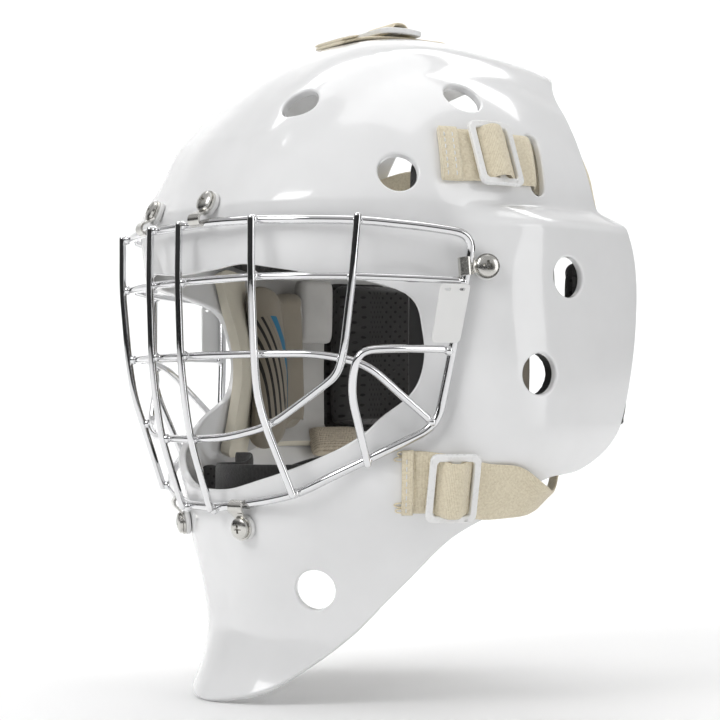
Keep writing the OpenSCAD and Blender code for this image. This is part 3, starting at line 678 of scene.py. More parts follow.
def tube(path, radius, closed=False, sides=14):
    """Points and faces of a round wire; open ends are rounded off."""
    tangent, u, v = frames_along(path, closed)
    turn = np.linspace(0, 2 * math.pi, sides, endpoint=False)
    radii, centres = np.full(len(path), radius, float), path.copy()
    if not closed:
        cap = np.radians([80, 55, 28])
        radii = np.concatenate([radius * np.cos(cap), radii, radius * np.cos(cap[::-1])])
        rise = 0.55 * radius * np.sin(cap)[:, None]
        inset = 0.55 * radius
        first = path[0] + tangent[0] * (inset - rise)
        last = path[-1] - tangent[-1] * (inset - rise[::-1])
        centres = np.vstack([first, path, last])
        centres[3] += tangent[0] * inset
        centres[-4] -= tangent[-1] * inset
        u = np.vstack([u[[0] * 3], u, u[[-1] * 3]])
        v = np.vstack([v[[0] * 3], v, v[[-1] * 3]])
    ring = np.cos(turn)[None, :, None] * u[:, None] + np.sin(turn)[None, :, None] * v[:, None]
    points = (centres[:, None] + ring * radii[:, None, None]).reshape(-1, 3)
    n, faces, shift = len(centres), [], 0
    if closed:
        angle = math.atan2(u[0] @ v[-1], u[0] @ u[-1])
        shift = int(round(angle / (2 * math.pi) * sides))
    for i in range(n if closed else n - 1):
        j = (i + 1) % n
        for k in range(sides):
            m = (k + 1) % sides
            s = -shift if j == 0 else 0
            faces.append((i * sides + k, i * sides + m,
                          j * sides + (m + s) % sides, j * sides + (k + s) % sides))
    if not closed:
        faces += [tuple(range(sides))[::-1], tuple((n - 1) * sides + k for k in range(sides))]
    return points, faces


def joined(meshes):
    """One list of points and faces from several."""
    points, faces, start = [], [], 0
    for p, f in meshes:
        points.append(p)
        faces += [tuple(k + start for k in face) for face in f]
        start += len(p)
    return np.vstack(points), faces


def mirrored_mesh(mesh):
    p, f = mesh
    return joined([mesh, (p * [-1, 1, 1], flipped(f))])


def ball(centre, radius, squash=(1, 1, 1)):
    """Small ball from rings, for weld beads."""
    rings, sides = 7, 12
    points, faces = [], []
    for i in range(rings + 1):
        lat = math.pi * i / rings
        for k in range(sides):
            lon = 2 * math.pi * k / sides
            points.append([math.sin(lat) * math.cos(lon), math.sin(lat) * math.sin(lon), math.cos(lat)])
    for i in range(rings):
        for k in range(sides):
            m = (k + 1) % sides
            faces.append((i * sides + k, (i + 1) * sides + k, (i + 1) * sides + m, i * sides + m))
    return np.array(points) * radius * squash + centre, faces


def lathe(profile, sides=48):
    """A turned solid round Z from (radius, height) pairs, from the lowest middle to the highest."""
    profile = np.array(profile, float)
    turn = np.linspace(0, 2 * math.pi, sides, endpoint=False)
    points = np.stack([profile[:, None, 0] * np.cos(turn), profile[:, None, 0] * np.sin(turn),
                       np.repeat(profile[:, 1:2], sides, 1)], -1).reshape(-1, 3)
    faces = []
    for i in range(len(profile) - 1):
        for k in range(sides):
            m = (k + 1) % sides
            faces.append((i * sides + k, i * sides + m, (i + 1) * sides + m, (i + 1) * sides + k))
    return points, faces


def placed(mesh, place):
    """A mesh moved by a 3 x 4 placing: rows are the three axes and the origin."""
    axes, origin = place
    return mesh[0] @ axes + origin, mesh[1]


def surface_place(a, z, lift=0.0, turn=0.0):
    """The CAD's placing on the surface: Z outwards, X down and Y across, turned round Z."""
    p, across, up, n = surface_frame(a, z)
    c, s = math.cos(math.radians(turn)), math.sin(math.radians(turn))
    return np.array([-up * c + across * s, up * s + across * c, n]), p + n * lift


def merged(obj, distance=0.00001):
    """Welds points that lie on each other, such as those at the middle of a lathe."""
    mesh = bmesh.new()
    mesh.from_mesh(obj.data)
    bmesh.ops.remove_doubles(mesh, verts=mesh.verts, dist=distance)
    bmesh.ops.dissolve_degenerate(mesh, dist=distance, edges=mesh.edges)
    bmesh.ops.recalc_face_normals(mesh, faces=mesh.faces)
    mesh.to_mesh(obj.data)
    mesh.free()
    return obj


def softened(obj, width, segments=2, angle=35):
    """Rounds an object's hard edges by width in millimetres."""
    made = obj.modifiers.new("edges", "BEVEL")
    made.width = width * MM
    made.segments = segments
    made.limit_method = "ANGLE"
    made.angle_limit = math.radians(angle)
    made.harden_normals = True
    return obj


def grid_faces(rows, cols, closed_cols=False):
    return [(i * cols + j, i * cols + (j + 1) % cols, (i + 1) * cols + (j + 1) % cols, (i + 1) * cols + j)
            for i in range(rows - 1) for j in range(cols if closed_cols else cols - 1)]


def set_cloth(obj, coordinates):
    """The place along and across the cloth, in metres, for the weave."""
    made = obj.data.attributes.new("cloth", "FLOAT_VECTOR", "POINT")
    flat = np.column_stack([np.asarray(coordinates) * MM, np.zeros(len(coordinates))])
    made.data.foreach_set("vector", flat.astype(np.float32).ravel())


# ---- Shell ----

shell = finished(shell_mesh(WHITE), "root", ["shell"])

# ---- Cage ----

BAR_Y = -101.0
PERIMETER = [
    (14, BAR_Y + 0.5, 58), (40, -98, 58), (62, -91.5, 57.5), (80, -76, 57), (94, -58, 56.5), (106, -34, 54),
    (113, -13, 51), (110, -15.5, 32), (104, -18.5, 0), (98.5, -22.5, -31), (90.5, -42.5, -41),
    (74.5, -61.8, -53), (61.5, -69.5, -60), (46, -75.5, -63.5), (28, -80.5, -66), (13, -83.5, -67.5),
]
BROW_BAR = [(14, -101, 33), (40, -97.5, 33), (62, -91.5, 33), (80, -76, 33), (93, -59.5, 32.7),
            (104, -35, 31.9), (109.6, -17.5, 31.2)]
CROSS_BAR = [(14.5, -99.5, 0), (40, -95.5, 0), (60, -89, 0), (80, -72, 0), (92, -55, -4), (98.5, -26, -28.5)]
LOWER_HOOP = [(14.5, -94.5, -37), (36, -91, -36), (58, -82, -31), (76, -71, -17), (86, -65, -9),
              (90, -64.5, 0), (94, -62.5, 33), (96, -61, 59.5)]
CENTER_BAR = [(14.3, -103.8, 60), (14.3, -104.2, 33), (14.3, -103, 0), (14.3, -101, -18), (14.2, -97.8, -37),
              (13.6, -87, -69.5)]
OUTER_BAR = [(63.4, -94.4, 59.5), (63.4, -94.4, 33), (61.6, -92, 0), (60.2, -89.5, -18), (59.6, -85, -31),
             (62.5, -72.6, -62)]
SIDE_HOOP = [(104.2, -22, 2), (101, -48, 2), (97.5, -62, 1), (91.5, -62, -16), (86, -49.5, -48.5)]
BEND, WIRE_R, RIM_WIRE_R = 9.0, 1.7, 2.0
WELD_REACH, WELD_APART = 4.9, 14


def across_middle(points):
    """The path with its mirror image before it, joined over the middle plane."""
    p = np.array(points, float)
    return np.vstack([(p * [-1, 1, 1])[::-1], p])


def cage():
    loop = round_corners(across_middle(PERIMETER), BEND)
    closing = resampled(np.vstack([loop[-1], loop[0]]), 2.0)[1:-1]
    wires = {"cage_perimeter": [(np.vstack([loop, closing]), RIM_WIRE_R, True)]}
    for name, bar in (("brow_bar", BROW_BAR), ("cross_bar", CROSS_BAR), ("lower_hoop", LOWER_HOOP)):
        wires["cage_" + name] = [(round_corners(across_middle(bar), BEND), WIRE_R, False)]
    for name, bar in (("center_bars", CENTER_BAR), ("outer_bars", OUTER_BAR), ("side_hoops", SIDE_HOOP)):
        path = round_corners(bar, BEND)
        wires["cage_" + name] = [(side, WIRE_R, False) for side in both_sides(path)]
    paths = []
    for name, rods in wires.items():
        points, faces = joined([tube(path, radius, closed) for path, radius, closed in rods])
        obj = merged(add_mesh(name + "_wire", points, faces, CHROME))
        finished(obj, "root", [name])
        paths += [path for path, _, _ in rods]
    beads = []
    for i, a in enumerate(paths):
        for b in paths[i + 1:]:
            gap = np.linalg.norm(a[:, None] - b[None], axis=-1)
            close = gap < WELD_REACH
            while close.any():
                k, m = np.unravel_index(np.argmin(np.where(close, gap, 99)), gap.shape)
                middle = (a[k] + b[m]) / 2
                beads.append(ball(middle, 2.0, (1.15, 1.0, 1.15)))
                close &= np.linalg.norm(a[:, None] - middle, axis=-1) > WELD_APART
    points, faces = joined(beads)
    finished(merged(add_mesh("cage_welds", points, faces, CHROME)), "root")


cage()

# ---- Flat plates ----


def rounded_rectangle(w, h, r, steps=6):
    turn = np.radians(np.linspace(0, 90, steps + 1))
    arc = np.stack([np.cos(turn), np.sin(turn)], -1) * r
    corners = [(1, 1, 0), (-1, 1, 90), (-1, -1, 180), (1, -1, 270)]
    out = []
    for sx, sy, angle in corners:
        c, s = math.cos(math.radians(angle)), math.sin(math.radians(angle))
        out.append(arc @ np.array([[c, s], [-s, c]]) + [sx * (w / 2 - r), sy * (h / 2 - r)])
    return np.vstack(out)


def plate(name, outline, holes, place, thickness, material, edge=0.4, spacing=2.0):
    """A bent plate: a flat outline with holes, laid out by place and thickened inwards."""
    loops = [resampled(np.vstack([q, q[:1]]), spacing)[:-1] for q in (outline, *holes)]
    low, high = loops[0].min(0), loops[0].max(0)
    xs, ys = (np.arange(low[k] + spacing / 2, high[k], spacing) for k in range(2))
    inner = np.stack(np.meshgrid(xs, ys), -1).reshape(-1, 2)
    keep = between_loops(inner, loops[0], loops[1:])
    border = np.vstack(loops)
    far = np.min(np.linalg.norm(inner[:, None] - border[None], axis=-1), 1) > 0.6 * spacing
    uv = np.vstack([border, inner[keep & far]])
    made = delaunay_2d_cdt([Vector(q) for q in uv], loop_edges(loops), [], 0, CDT_GAP)
    flat, tris = np.array([tuple(q) for q in made[0]]), np.array(made[2])
    tris = tris[between_loops(flat[tris].mean(1), loops[0], loops[1:])]
    obj = add_mesh(name, place(flat), tris, material)
    solid = obj.modifiers.new("thickness", "SOLIDIFY")
    solid.thickness = thickness * MM
    solid.offset = -1
    softened(obj, edge)
    return obj


def tag_place(mirror):
    corners = np.array([[107.6, -17, 4.5], [104.9, -30, 4.5], [112.7, -14.5, 30], [109.2, -28, 30]])

    def place(q):
        u, v = q[:, :1] / 13.5 + 0.5, q[:, 1:] / 26 + 0.5
        p = (corners[0] * (1 - u) + corners[1] * u) * (1 - v) + (corners[2] * (1 - u) + corners[3] * u) * v
        return p * [mirror, 1, 1]
    return place


def tags():
    slits = [rounded_rectangle(3.4, 1.1, 0.5, 3) + [s * 3.1, 10.4] for s in (-1, 1)]
    for name, mirror in SIDES:
        outline = rounded_rectangle(13.2, 25.6, 1.6)
        obj = plate("tag_" + name, outline, slits, tag_place(mirror), 1.0, NYLON, 0.25, 1.6)
        obj.modifiers["thickness"].offset = 0
        finished(obj, "root", ["cage_tags"])


tags()

# ---- Clips, screws and washers ----

CLIPS = [(12.8, 66.6, 90, 9.0, 1.6), (77, 37.3, 3, 9.4, 1.0), (15.8, -76, -90, 9.6, 1.4)]
CLIP_T, WASHER_T, HEAD_D, WASHER_D = 1.1, 2.6, 9.5, 11.4


def clip_mesh(reach, height):
    """Strip with a round eye under the screw, a waist, and a flared hook over the wire."""
    eye = HEAD_D / 2 + 0.75
    hook = RIM_WIRE_R + 0.15 + CLIP_T / 2
    turn = np.radians(np.linspace(-62, 205, 22))
    arc = np.stack([-reach - hook * np.sin(turn), height + hook * np.cos(turn)], -1)
    flat = np.stack([np.linspace(eye, -reach * 0.42, 20), np.full(20, CLIP_T / 2)], -1)
    path = np.vstack([flat, arc])
    length = run_length(path)
    s = np.concatenate([np.linspace(0, eye, 10), np.linspace(eye, length[-1], 40)[1:]])
    yz = np.stack([np.interp(s, length, path[:, k]) for k in range(2)], -1)
    from_middle = np.maximum(eye - s, s - eye) * np.where(s < 2 * eye, 1, 0)
    round_end = np.sqrt(np.maximum(eye ** 2 - np.minimum(from_middle, eye) ** 2, 0.3))
    waist = 2.7 + 1.3 * smooth(eye + reach * 0.5, eye + reach * 0.95, s)
    half = np.where(s < eye, round_end, np.maximum(np.where(s < 2 * eye, round_end, 0), waist))
    along = unit(np.gradient(yz, axis=0))
    normal = np.stack([along[:, 1], -along[:, 0]], -1)
    cols = np.linspace(-1, 1, 7)
    rows = []
    for depth in (1, -1):
        q = yz + depth * normal * CLIP_T / 2
        q = np.repeat(q[:, None], len(cols), 1)
        rows.append(np.concatenate([(half[:, None] * cols)[..., None], q], -1))
    n = len(s)
    points = np.vstack([rows[0].reshape(-1, 3), rows[1].reshape(-1, 3)])
    faces = two_skins(grid_faces(n, 7), n * 7)
    for i in range(n - 1):
        faces += [(i * 7, (i + 1) * 7, (i + 1) * 7 + n * 7, i * 7 + n * 7),
                  ((i + 1) * 7 + 6, i * 7 + 6, i * 7 + 6 + n * 7, (i + 1) * 7 + 6 + n * 7)]
    for j in range(6):
        faces += [(j + 1, j, j + n * 7, j + 1 + n * 7),
                  ((n - 1) * 7 + j, (n - 1) * 7 + j + 1, (2 * n - 1) * 7 + j + 1, (2 * n - 1) * 7 + j)]
    return points, faces


def screw_mesh():
    """Domed head with a rounded edge, and its shank."""
    dome = [(r, 0.45 + 2.1 * math.sqrt(max(1 - (r / 5.35) ** 2, 0))) for r in np.linspace(4.6, 0.01, 12)]
    under = WASHER_T + CLIP_T
    edge = [(HEAD_D / 2 - 0.25, 0.0), (HEAD_D / 2, 0.22), (HEAD_D / 2, 0.7)]
    profile = [(0.01, -4 - under), (2.4, -4 - under), (2.4, 0)] + edge + [d for d in dome if d[1] > 0.75]
    return lathe([(r, h + under) for r, h in profile])


def cross_cutter():
    """Tapered cross of the screws' drive."""
    meshes = []
    sides = [(3, 2, 1, 0), (4, 5, 6, 7), (0, 1, 5, 4), (1, 2, 6, 5), (2, 3, 7, 6), (3, 0, 4, 7)]
    for turn in (0, 90):
        c, s = math.cos(math.radians(turn)), math.sin(math.radians(turn))
        corners = []
        for z, half, wide in ((WASHER_T + CLIP_T + 1.0, 1.3, 0.35), (WASHER_T + CLIP_T + 4.0, 3.0, 0.85)):
            for x, y in ((-half, -wide), (half, -wide), (half, wide), (-half, wide)):
                corners.append((x * c - y * s, x * s + y * c, z))
        meshes.append((np.array(corners), sides))
    return meshes


def screws():
    """Six equal screws with a recess cut by a boolean."""
    head = merged(add_mesh("screw_blank", *screw_mesh(), NICKEL))
    cutters = []
    for k, mesh in enumerate(cross_cutter()):
        cutter = merged(add_mesh(f"cutter_{k}", *mesh, NICKEL))
        made = head.modifiers.new(f"cut_{k}", "BOOLEAN")
        made.object = cutter
        made.solver = "EXACT"
        cutters.append(cutter)
    shape = bpy.data.meshes.new_from_object(head.evaluated_get(bpy.context.evaluated_depsgraph_get()))
    points = np.array([v.co for v in shape.vertices]) / MM
    faces = [tuple(p.vertices) for p in shape.polygons]
    for used in (head, *cutters):
        bpy.data.objects.remove(used)
    heads = [placed((points, faces), surface_place(a, z)) for a, z, *_ in CLIPS]
    obj = add_mesh("screws", *mirrored_mesh(joined(heads)), NICKEL)
    obj.data.set_sharp_from_angle(angle=math.radians(38))
    finished(obj, "root", ["clip_screws"])


def fasteners():
    for name, (a, z, turn, reach, height) in zip(("brow", "side", "chin"), CLIPS):
        mesh = placed(clip_mesh(reach, height), surface_place(a, z, WASHER_T, turn))
        obj = merged(add_mesh(name + "_clip_strips", *mirrored_mesh(mesh), NICKEL))
        softened(obj, 0.22, 2, 40)
        finished(obj, "root", [name + "_clips"])
    r, t = WASHER_D / 2, WASHER_T
    profile = [(2.6, 0.3), (r - 0.3, 0.3), (r, 0.6), (r, t - 0.7), (r - 0.25, t - 0.25), (r - 0.8, t),
               (2.6, t), (2.6, 0.3)]
    washers = [placed(lathe(profile), surface_place(a, z)) for a, z, *_ in CLIPS]
    obj = merged(add_mesh("washers", *mirrored_mesh(joined(washers)), NYLON))
    obj.data.set_sharp_from_angle(angle=math.radians(50))
    finished(obj, "root", ["clip_washers"])
    screws()


fasteners()

# ---- Straps ----

WEB_T, WEB_W = 1.6, 25.0


def refined(rows, step, cols):
    """Smooth band through rows of points: spline along it, even columns across it."""
    rows = np.asarray(rows, float)
    length = run_length(rows.mean(1))
    s = np.linspace(0, length[-1], int(length[-1] / step) + 1)
    flat = rows.reshape(len(rows), -1)
    along = hermite(length, flat.T, s).T.reshape(len(s), rows.shape[1], 3)
    at = np.linspace(0, rows.shape[1] - 1, cols)
    low = np.minimum(at.astype(int), rows.shape[1] - 2)
    part = (at - low)[None, :, None]
    return along[:, low] * (1 - part) + along[:, low + 1] * part, s


def band_normals(grid):
    return unit(np.cross(np.gradient(grid, axis=0), np.gradient(grid, axis=1)))


def band(name, rows, thickness, material, step=1.5, cols=15, edge=0.5):
    """A woven strap: a thin solid with rounded selvedges round a smooth band."""
    grid, s = refined(rows, step, cols)
    n = band_normals(grid)
    across = unit(np.gradient(grid, axis=1))
    rim = np.ones(cols)
    rim[[0, -1]] = 0.55
    half = thickness / 2
    top = grid + n * (half * rim)[None, :, None]
    low = grid - n * (half * rim)[None, :, None]
    side_a = grid[:, :1] - across[:, :1] * edge
    side_b = grid[:, -1:] + across[:, -1:] * edge
    ring = np.concatenate([top, side_b, low[:, ::-1], side_a], 1)
    count = ring.shape[1]
    faces = grid_faces(len(s), count, True)
    faces += [tuple(range(count))[::-1], tuple((len(s) - 1) * count + k for k in range(count))]
    obj = add_mesh(name, ring.reshape(-1, 3), faces, material)
    place = np.linspace(0, WEB_W, cols)
    u = np.concatenate([place, [WEB_W + 0.4], place[::-1], [-0.4]])
    set_cloth(obj, np.stack([np.tile(u, len(s)), np.repeat(s, count)], -1))
    merged(obj, 1e-7)
    return obj


def stitches(rows, lanes, depth, pitch=3.2, length=2.0, radius=0.28, margin=1.5):
    """Rows of thread stitches across a band, at the given shares of its length."""
    grid, s = refined(rows, 1.0, 25)
    n = band_normals(grid)
    meshes = []
    for lane in lanes:
        k = min(int(round(lane)), len(s) - 1)
        line, normal = grid[k] + n[k] * depth, n[k]
        run = run_length(line)
        for start in np.arange(margin, run[-1] - margin - length, pitch):
            at = start + np.linspace(0, length, 5)
            p = np.stack([np.interp(at, run, line[:, c]) for c in range(3)], -1)
            lift = np.array([-0.35, 0.1, 0.2, 0.1, -0.35])[:, None]
            meshes.append(tube(p + normal[12] * lift, radius, sides=6))
    return joined(meshes)


def on_surface_row(station, count=5):
    a, z, d = (np.linspace(station[i], station[j], count) for i, j in ((0, 2), (1, 3), (4, 4)))
    return off(a, z, d)


def straight_row(a, b, count=5):
    return np.linspace(np.array(a, float), np.array(b, float), count)


SIDE_STATIONS = [
    (67.5, 75, 67.5, 98, 1.2), (71, 75, 71, 98, 1.2), (76, 75.5, 76, 98, 1.2), (82, 75.5, 82, 98, 1.2),
    (88, 75, 88.5, 97.5, 1.2), (91.5, 75, 93, 97.5, 1.2), (93.9, 75, 96.1, 97.3, 1.2),
    (96, 75, 98.4, 97, -2.5), (97.7, 75, 100.4, 97, -6.5), (102, 75.5, 104, 97, -10),
]
SIDE_ENDS = [
    ((68, 76, 80), (65, 76, 101)), ((43.5, 109.6, 66), (39, 108, 87)), ((33, 116.6, 66), (30, 114.2, 87)),
]
LOWER_STATIONS = [
    (58.5, -67.5, 58.5, -42.5, 1.4), (62, -67.5, 62, -42.5, 1.4), (66, -67.5, 66, -43, 1.4),
    (70, -68, 70, -44, 1.4), (74, -69, 74, -45.5, 1.4), (78, -70.5, 78, -47, 1.4),
]
LOWER_ENDS = [
    ((99, 14, -71), (110.5, 14, -49.5)), ((97.5, 26, -70), (109, 28, -57.5)), ((91, 38, -66), (98, 40, -60)),
    ((72, 62, -44), (76, 64, -31)), ((24, 118, 47), (44, 108.6, 44)), ((13, 121.6, 60), (31, 116.9, 60)),
]
TOP_STATIONS = [*[(y, 1.2) for y in (-17, -8, 2, 12, 22, 32)], (41.5, 1.0), (46.5, -2.2), (51, -6.5)]
TOP_ENDS = [(72, 138.5), (86, 132.8), (95.5, 123.5), (102.5, 113), (107.6, 106), (111.6, 99.6)]


def side_rows():
    return [on_surface_row(s) for s in SIDE_STATIONS] + [straight_row(*e) for e in SIDE_ENDS]


def lower_rows():
    return [on_surface_row(s) for s in LOWER_STATIONS] + [straight_row(*e) for e in LOWER_ENDS]


def top_rows():
    rows = []
    for y, lift in TOP_STATIONS:
        a = 0.0 if y < AXIS_Y else 180.0
        r = abs(y - AXIS_Y) / (116 if y < AXIS_Y else 138)
        power = 1.08 if y < AXIS_Y else 1.57
        z = DOME_Z + (DOME_TOP - DOME_Z) * (1 - min(r, 1) ** 2.4) ** (1 / power) + CREST_H + lift
        rows.append(straight_row((-12.5, y, z), (12.5, y, z)))
    return rows + [straight_row((-12.5, y, z), (12.5, y, z)) for y, z in TOP_ENDS]


def hem(rows, name, length, lift):
    """The folded end of a strap: a second layer on its first length millimetres, sewn down."""
    grid, _ = refined(rows, 1.0, 5)
    picked = (grid + band_normals(grid) * lift)[:length + 1]
    return band(name, picked, 1.3, WEBBING, step=1.0)


def straps():
    made = []
    # Two places, in metres, between which a strap would give way from the shell to the plate; they are listed
    # but not used
    loose_stretches = (("side", side_rows(), (0.06, 0.078, 0.088), (0.036, 0.108, 0.08)),
                       ("lower", lower_rows(), (0.074, 0.062, -0.04), (0.03, 0.112, 0.05)))
    for name, rows, *loose in loose_stretches:
        for side, mirror in SIDES:
            turned = [row * [mirror, 1, 1] for row in rows]
            if mirror < 0:
                turned = [row[::-1] for row in turned]
            obj = band(f"{side}_{name}_strap", turned, WEB_T, WEBBING)
            outwards = 1 if outward_sign(turned) > 0 else -1
            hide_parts(name + "_straps")
            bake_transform(obj)
            made.append((f"{side}_{name}", turned, outwards))
    rows = top_rows()
    obj = band("top_strap_web", rows, WEB_T, WEBBING)
    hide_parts("top_strap")
    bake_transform(obj)
    made.append(("top", rows, 1 if outward_sign(rows) > 0 else -1))
    return made


def outward_sign(rows):
    """Whether a band's own normal, along times across, points away from the head."""
    grid, _ = refined(rows[:6], 3.0, 5)
    n = np.cross(np.gradient(grid, axis=0), np.gradient(grid, axis=1)).reshape(-1, 3)
    return float(np.sum(n * (grid.reshape(-1, 3) - [0, 20, 20])))


def strap_ends(made):
    for name, rows, out in made:
        layer = hem(rows, name + "_hem", 9 if "lower" not in name else 5, out * 1.45)
        finished(layer, "root")
        lanes = (2.0, 6.5) if "lower" not in name else (2.5,)
        points, faces = stitches(rows, lanes, out * 2.2)
        obj = finished(merged(add_mesh(name + "_stitches", points, faces, NYLON)), "root")
        if "lower" in name:
            loops = []
            grid, _ = refined(rows, 1.0, 25)
            along = unit(grid[1] - grid[0]).mean(0)
            n = unit(np.cross(grid[1, 12] - grid[0, 12], grid[0, 13] - grid[0, 12]))
            for k, share in enumerate(np.linspace(0.03, 0.97, 11)):
                place = grid[0, 0] * (1 - share) + grid[0, -1] * share
                across = unit(grid[0, -1] - grid[0, 0])
                turn = np.linspace(0, math.pi, 9)[:, None]
                reach = 2.6 + 0.8 * math.sin(k * 2.3)
                arc = place + across * np.cos(turn) * 0.95 - unit(along) * np.sin(turn) * reach
                loops.append(tube(arc + n * 0.3 * math.sin(k * 1.7), 0.34, sides=6))
            points, faces = joined(loops)
            finished(merged(add_mesh(name + "_frayed_loops", points, faces, WEBBING)), "root")


strap_ends(straps())

# ---- Sliders ----

SLIDERS = {
    "left_side": (82, 86.7, 1), "right_side": (82, 86.7, -1),
    "left_lower": (70, -56.5, 1), "right_lower": (70, -56.5, -1),
}
SLIDER_L, SLIDER_W, SLIDER_T, SLIDER_BAR, SLIDER_LIFT = 23.0, 31.0, 2.6, 3.1, 2.6
TOP_SLIDER_Y = 15.0


def slider_place(name):
    """The CAD's placing of a slider: X along the strap, Y across it, Z outwards."""
    if name == "top":
        origin = np.array([0, TOP_SLIDER_Y, DOME_TOP + CREST_H + SLIDER_LIFT])
        return np.array([[0, 1, 0], [-1, 0, 0], [0, 0, 1.0]]), origin
    a, z, mirror = SLIDERS[name]
    axes, origin = surface_place(a, z, SLIDER_LIFT, 90)
    return axes * [mirror, 1, 1], origin * [mirror, 1, 1]


def sliders():
    window = ((SLIDER_L - 3 * SLIDER_BAR) / 2, SLIDER_W - 2 * SLIDER_BAR)
    holes = [rounded_rectangle(*window, 1.0, 4) + [s * (window[0] + SLIDER_BAR) / 2, 0] for s in (-1, 1)]
    for name in (*SLIDERS, "top"):
        axes, origin = slider_place(name)

        def place(q, axes=axes, origin=origin):
            bow = 0.7 * (1 - (2 * q[:, :1] / SLIDER_L) ** 2)
            return np.hstack([q, SLIDER_T + bow - 0.3]) @ axes + origin
        flat = rounded_rectangle(SLIDER_L, SLIDER_W, 3.2)
        obj = plate(name + "_slider_frame", flat, holes, place, SLIDER_T, SLIDER, 0.75, 1.6)
        if np.linalg.det(axes) < 0:
            obj.data.flip_normals()
        obj.modifiers["edges"].segments = 3
        finished(obj, name + "_slider", [name + "_slider"])
        xs = np.array([-7.2, -5.6, -4.4, -2.6, 0, 2.6, 4.4, 5.6, 7.2])
        zs = np.array([0.5, 1.4, 3.1, 4.9, 5.5, 4.9, 3.1, 1.4, 0.5])
        rows = [np.stack([np.full(5, x), np.linspace(-12.2, 12.2, 5), np.full(5, z)], -1) @ axes + origin
                for x, z in zip(xs, zs)]
        bight = band(name + "_strap_bight", rows, 1.5, WEBBING, step=0.7)
        finished(bight, name + "_slider", [name + "_slider_wrap"])


sliders()

# ---- Padded liner ----


PAD_BACK = -4.6
# Radius by which the liner's angles are turned into widths
LINER_R = 98


def squircle(s, t, corner):
    """Coordinates of a square with its corners rounded, from those of a plain one."""
    most = np.maximum(np.abs(s), np.abs(t))
    round_most = (np.abs(s) ** corner + np.abs(t) ** corner) ** (1 / corner)
    shrink = np.where(most > 0, most / np.maximum(round_most, 1e-9), 1)
    return s * shrink, t * shrink


def rolled(rim, roll):
    """Height, as a share of the whole, of a quarter-round edge of radius roll at the distance rim from it."""
    return np.sqrt(np.maximum(1 - (1 - np.minimum(rim / roll, 1)) ** 2, 0))


def pad(name, span, heights, back, front, material, replaces, crown=1.0, roll=4.0,
        grooves=(), bands=(), mirror=1, taper=0.0):
    """A crowned cushion on the shell's inside, from depth back to depth front, with rolled edges.
    grooves are (u, width, depth) or (v, width, depth, "across"); bands are (from u, material)."""
    width = math.radians(span[1] - span[0]) * LINER_R
    height = heights[1] - heights[0]
    nu, nv = int(width / 1.6) | 1, int(height / 1.6) | 1
    s = np.sin(np.linspace(-1, 1, nu) * math.pi / 2)
    t = np.sin(np.linspace(-1, 1, nv) * math.pi / 2)
    s, t = np.meshgrid(s, t, indexing="ij")
    x, y = squircle(s, t, 9)
    a = (span[0] + span[1]) / 2 + (span[1] - span[0]) / 2 * x
    z = (heights[0] + heights[1]) / 2 + height / 2 * y
    rim = np.minimum((1 - np.abs(s)) * width / 2, (1 - np.abs(t)) * height / 2)
    edge = rolled(rim, roll)
    middle = (back + front) / 2
    depth = front - crown * (1 - s ** 2) * (1 - t ** 2) + taper * (s + 1) / 2
    for groove in grooves:
        where = s if len(groove) == 3 else t
        size = width if len(groove) == 3 else height
        depth = depth + groove[2] * np.exp(-((where - groove[0]) * size / 2 / groove[1]) ** 2)
    face = middle + (depth - middle) * edge
    rear = middle + (back - middle) * edge
    p_face = off(a.ravel(), z.ravel(), face.ravel()) * [mirror, 1, 1]
    p_rear = off(a.ravel(), z.ravel(), rear.ravel()) * [mirror, 1, 1]
    quads = grid_faces(nu, nv)
    obj = add_mesh(name, np.vstack([p_face, p_rear]), two_skins(quads, nu * nv), material)
    # The cloth runs on round the front and rear walls
    along = [x * width / 2 + np.sign(s) * np.abs(skin - front) for skin in (face, rear)]
    set_cloth(obj, np.vstack([np.stack([u.ravel(), y.ravel() * height / 2], -1) for u in along]))
    for _, other in bands:
        obj.data.materials.append(other)
    u_face = np.array([s.ravel()[list(q)].mean() for q in quads])
    for index, (start, _) in enumerate(bands):
        for k in np.nonzero(u_face > start)[0]:
            obj.data.polygons[int(k)].material_index = index + 1
            obj.data.polygons[int(k) + len(quads)].material_index = index + 1
    merged(obj, 1e-6)
    return finished(obj, "root", replaces)


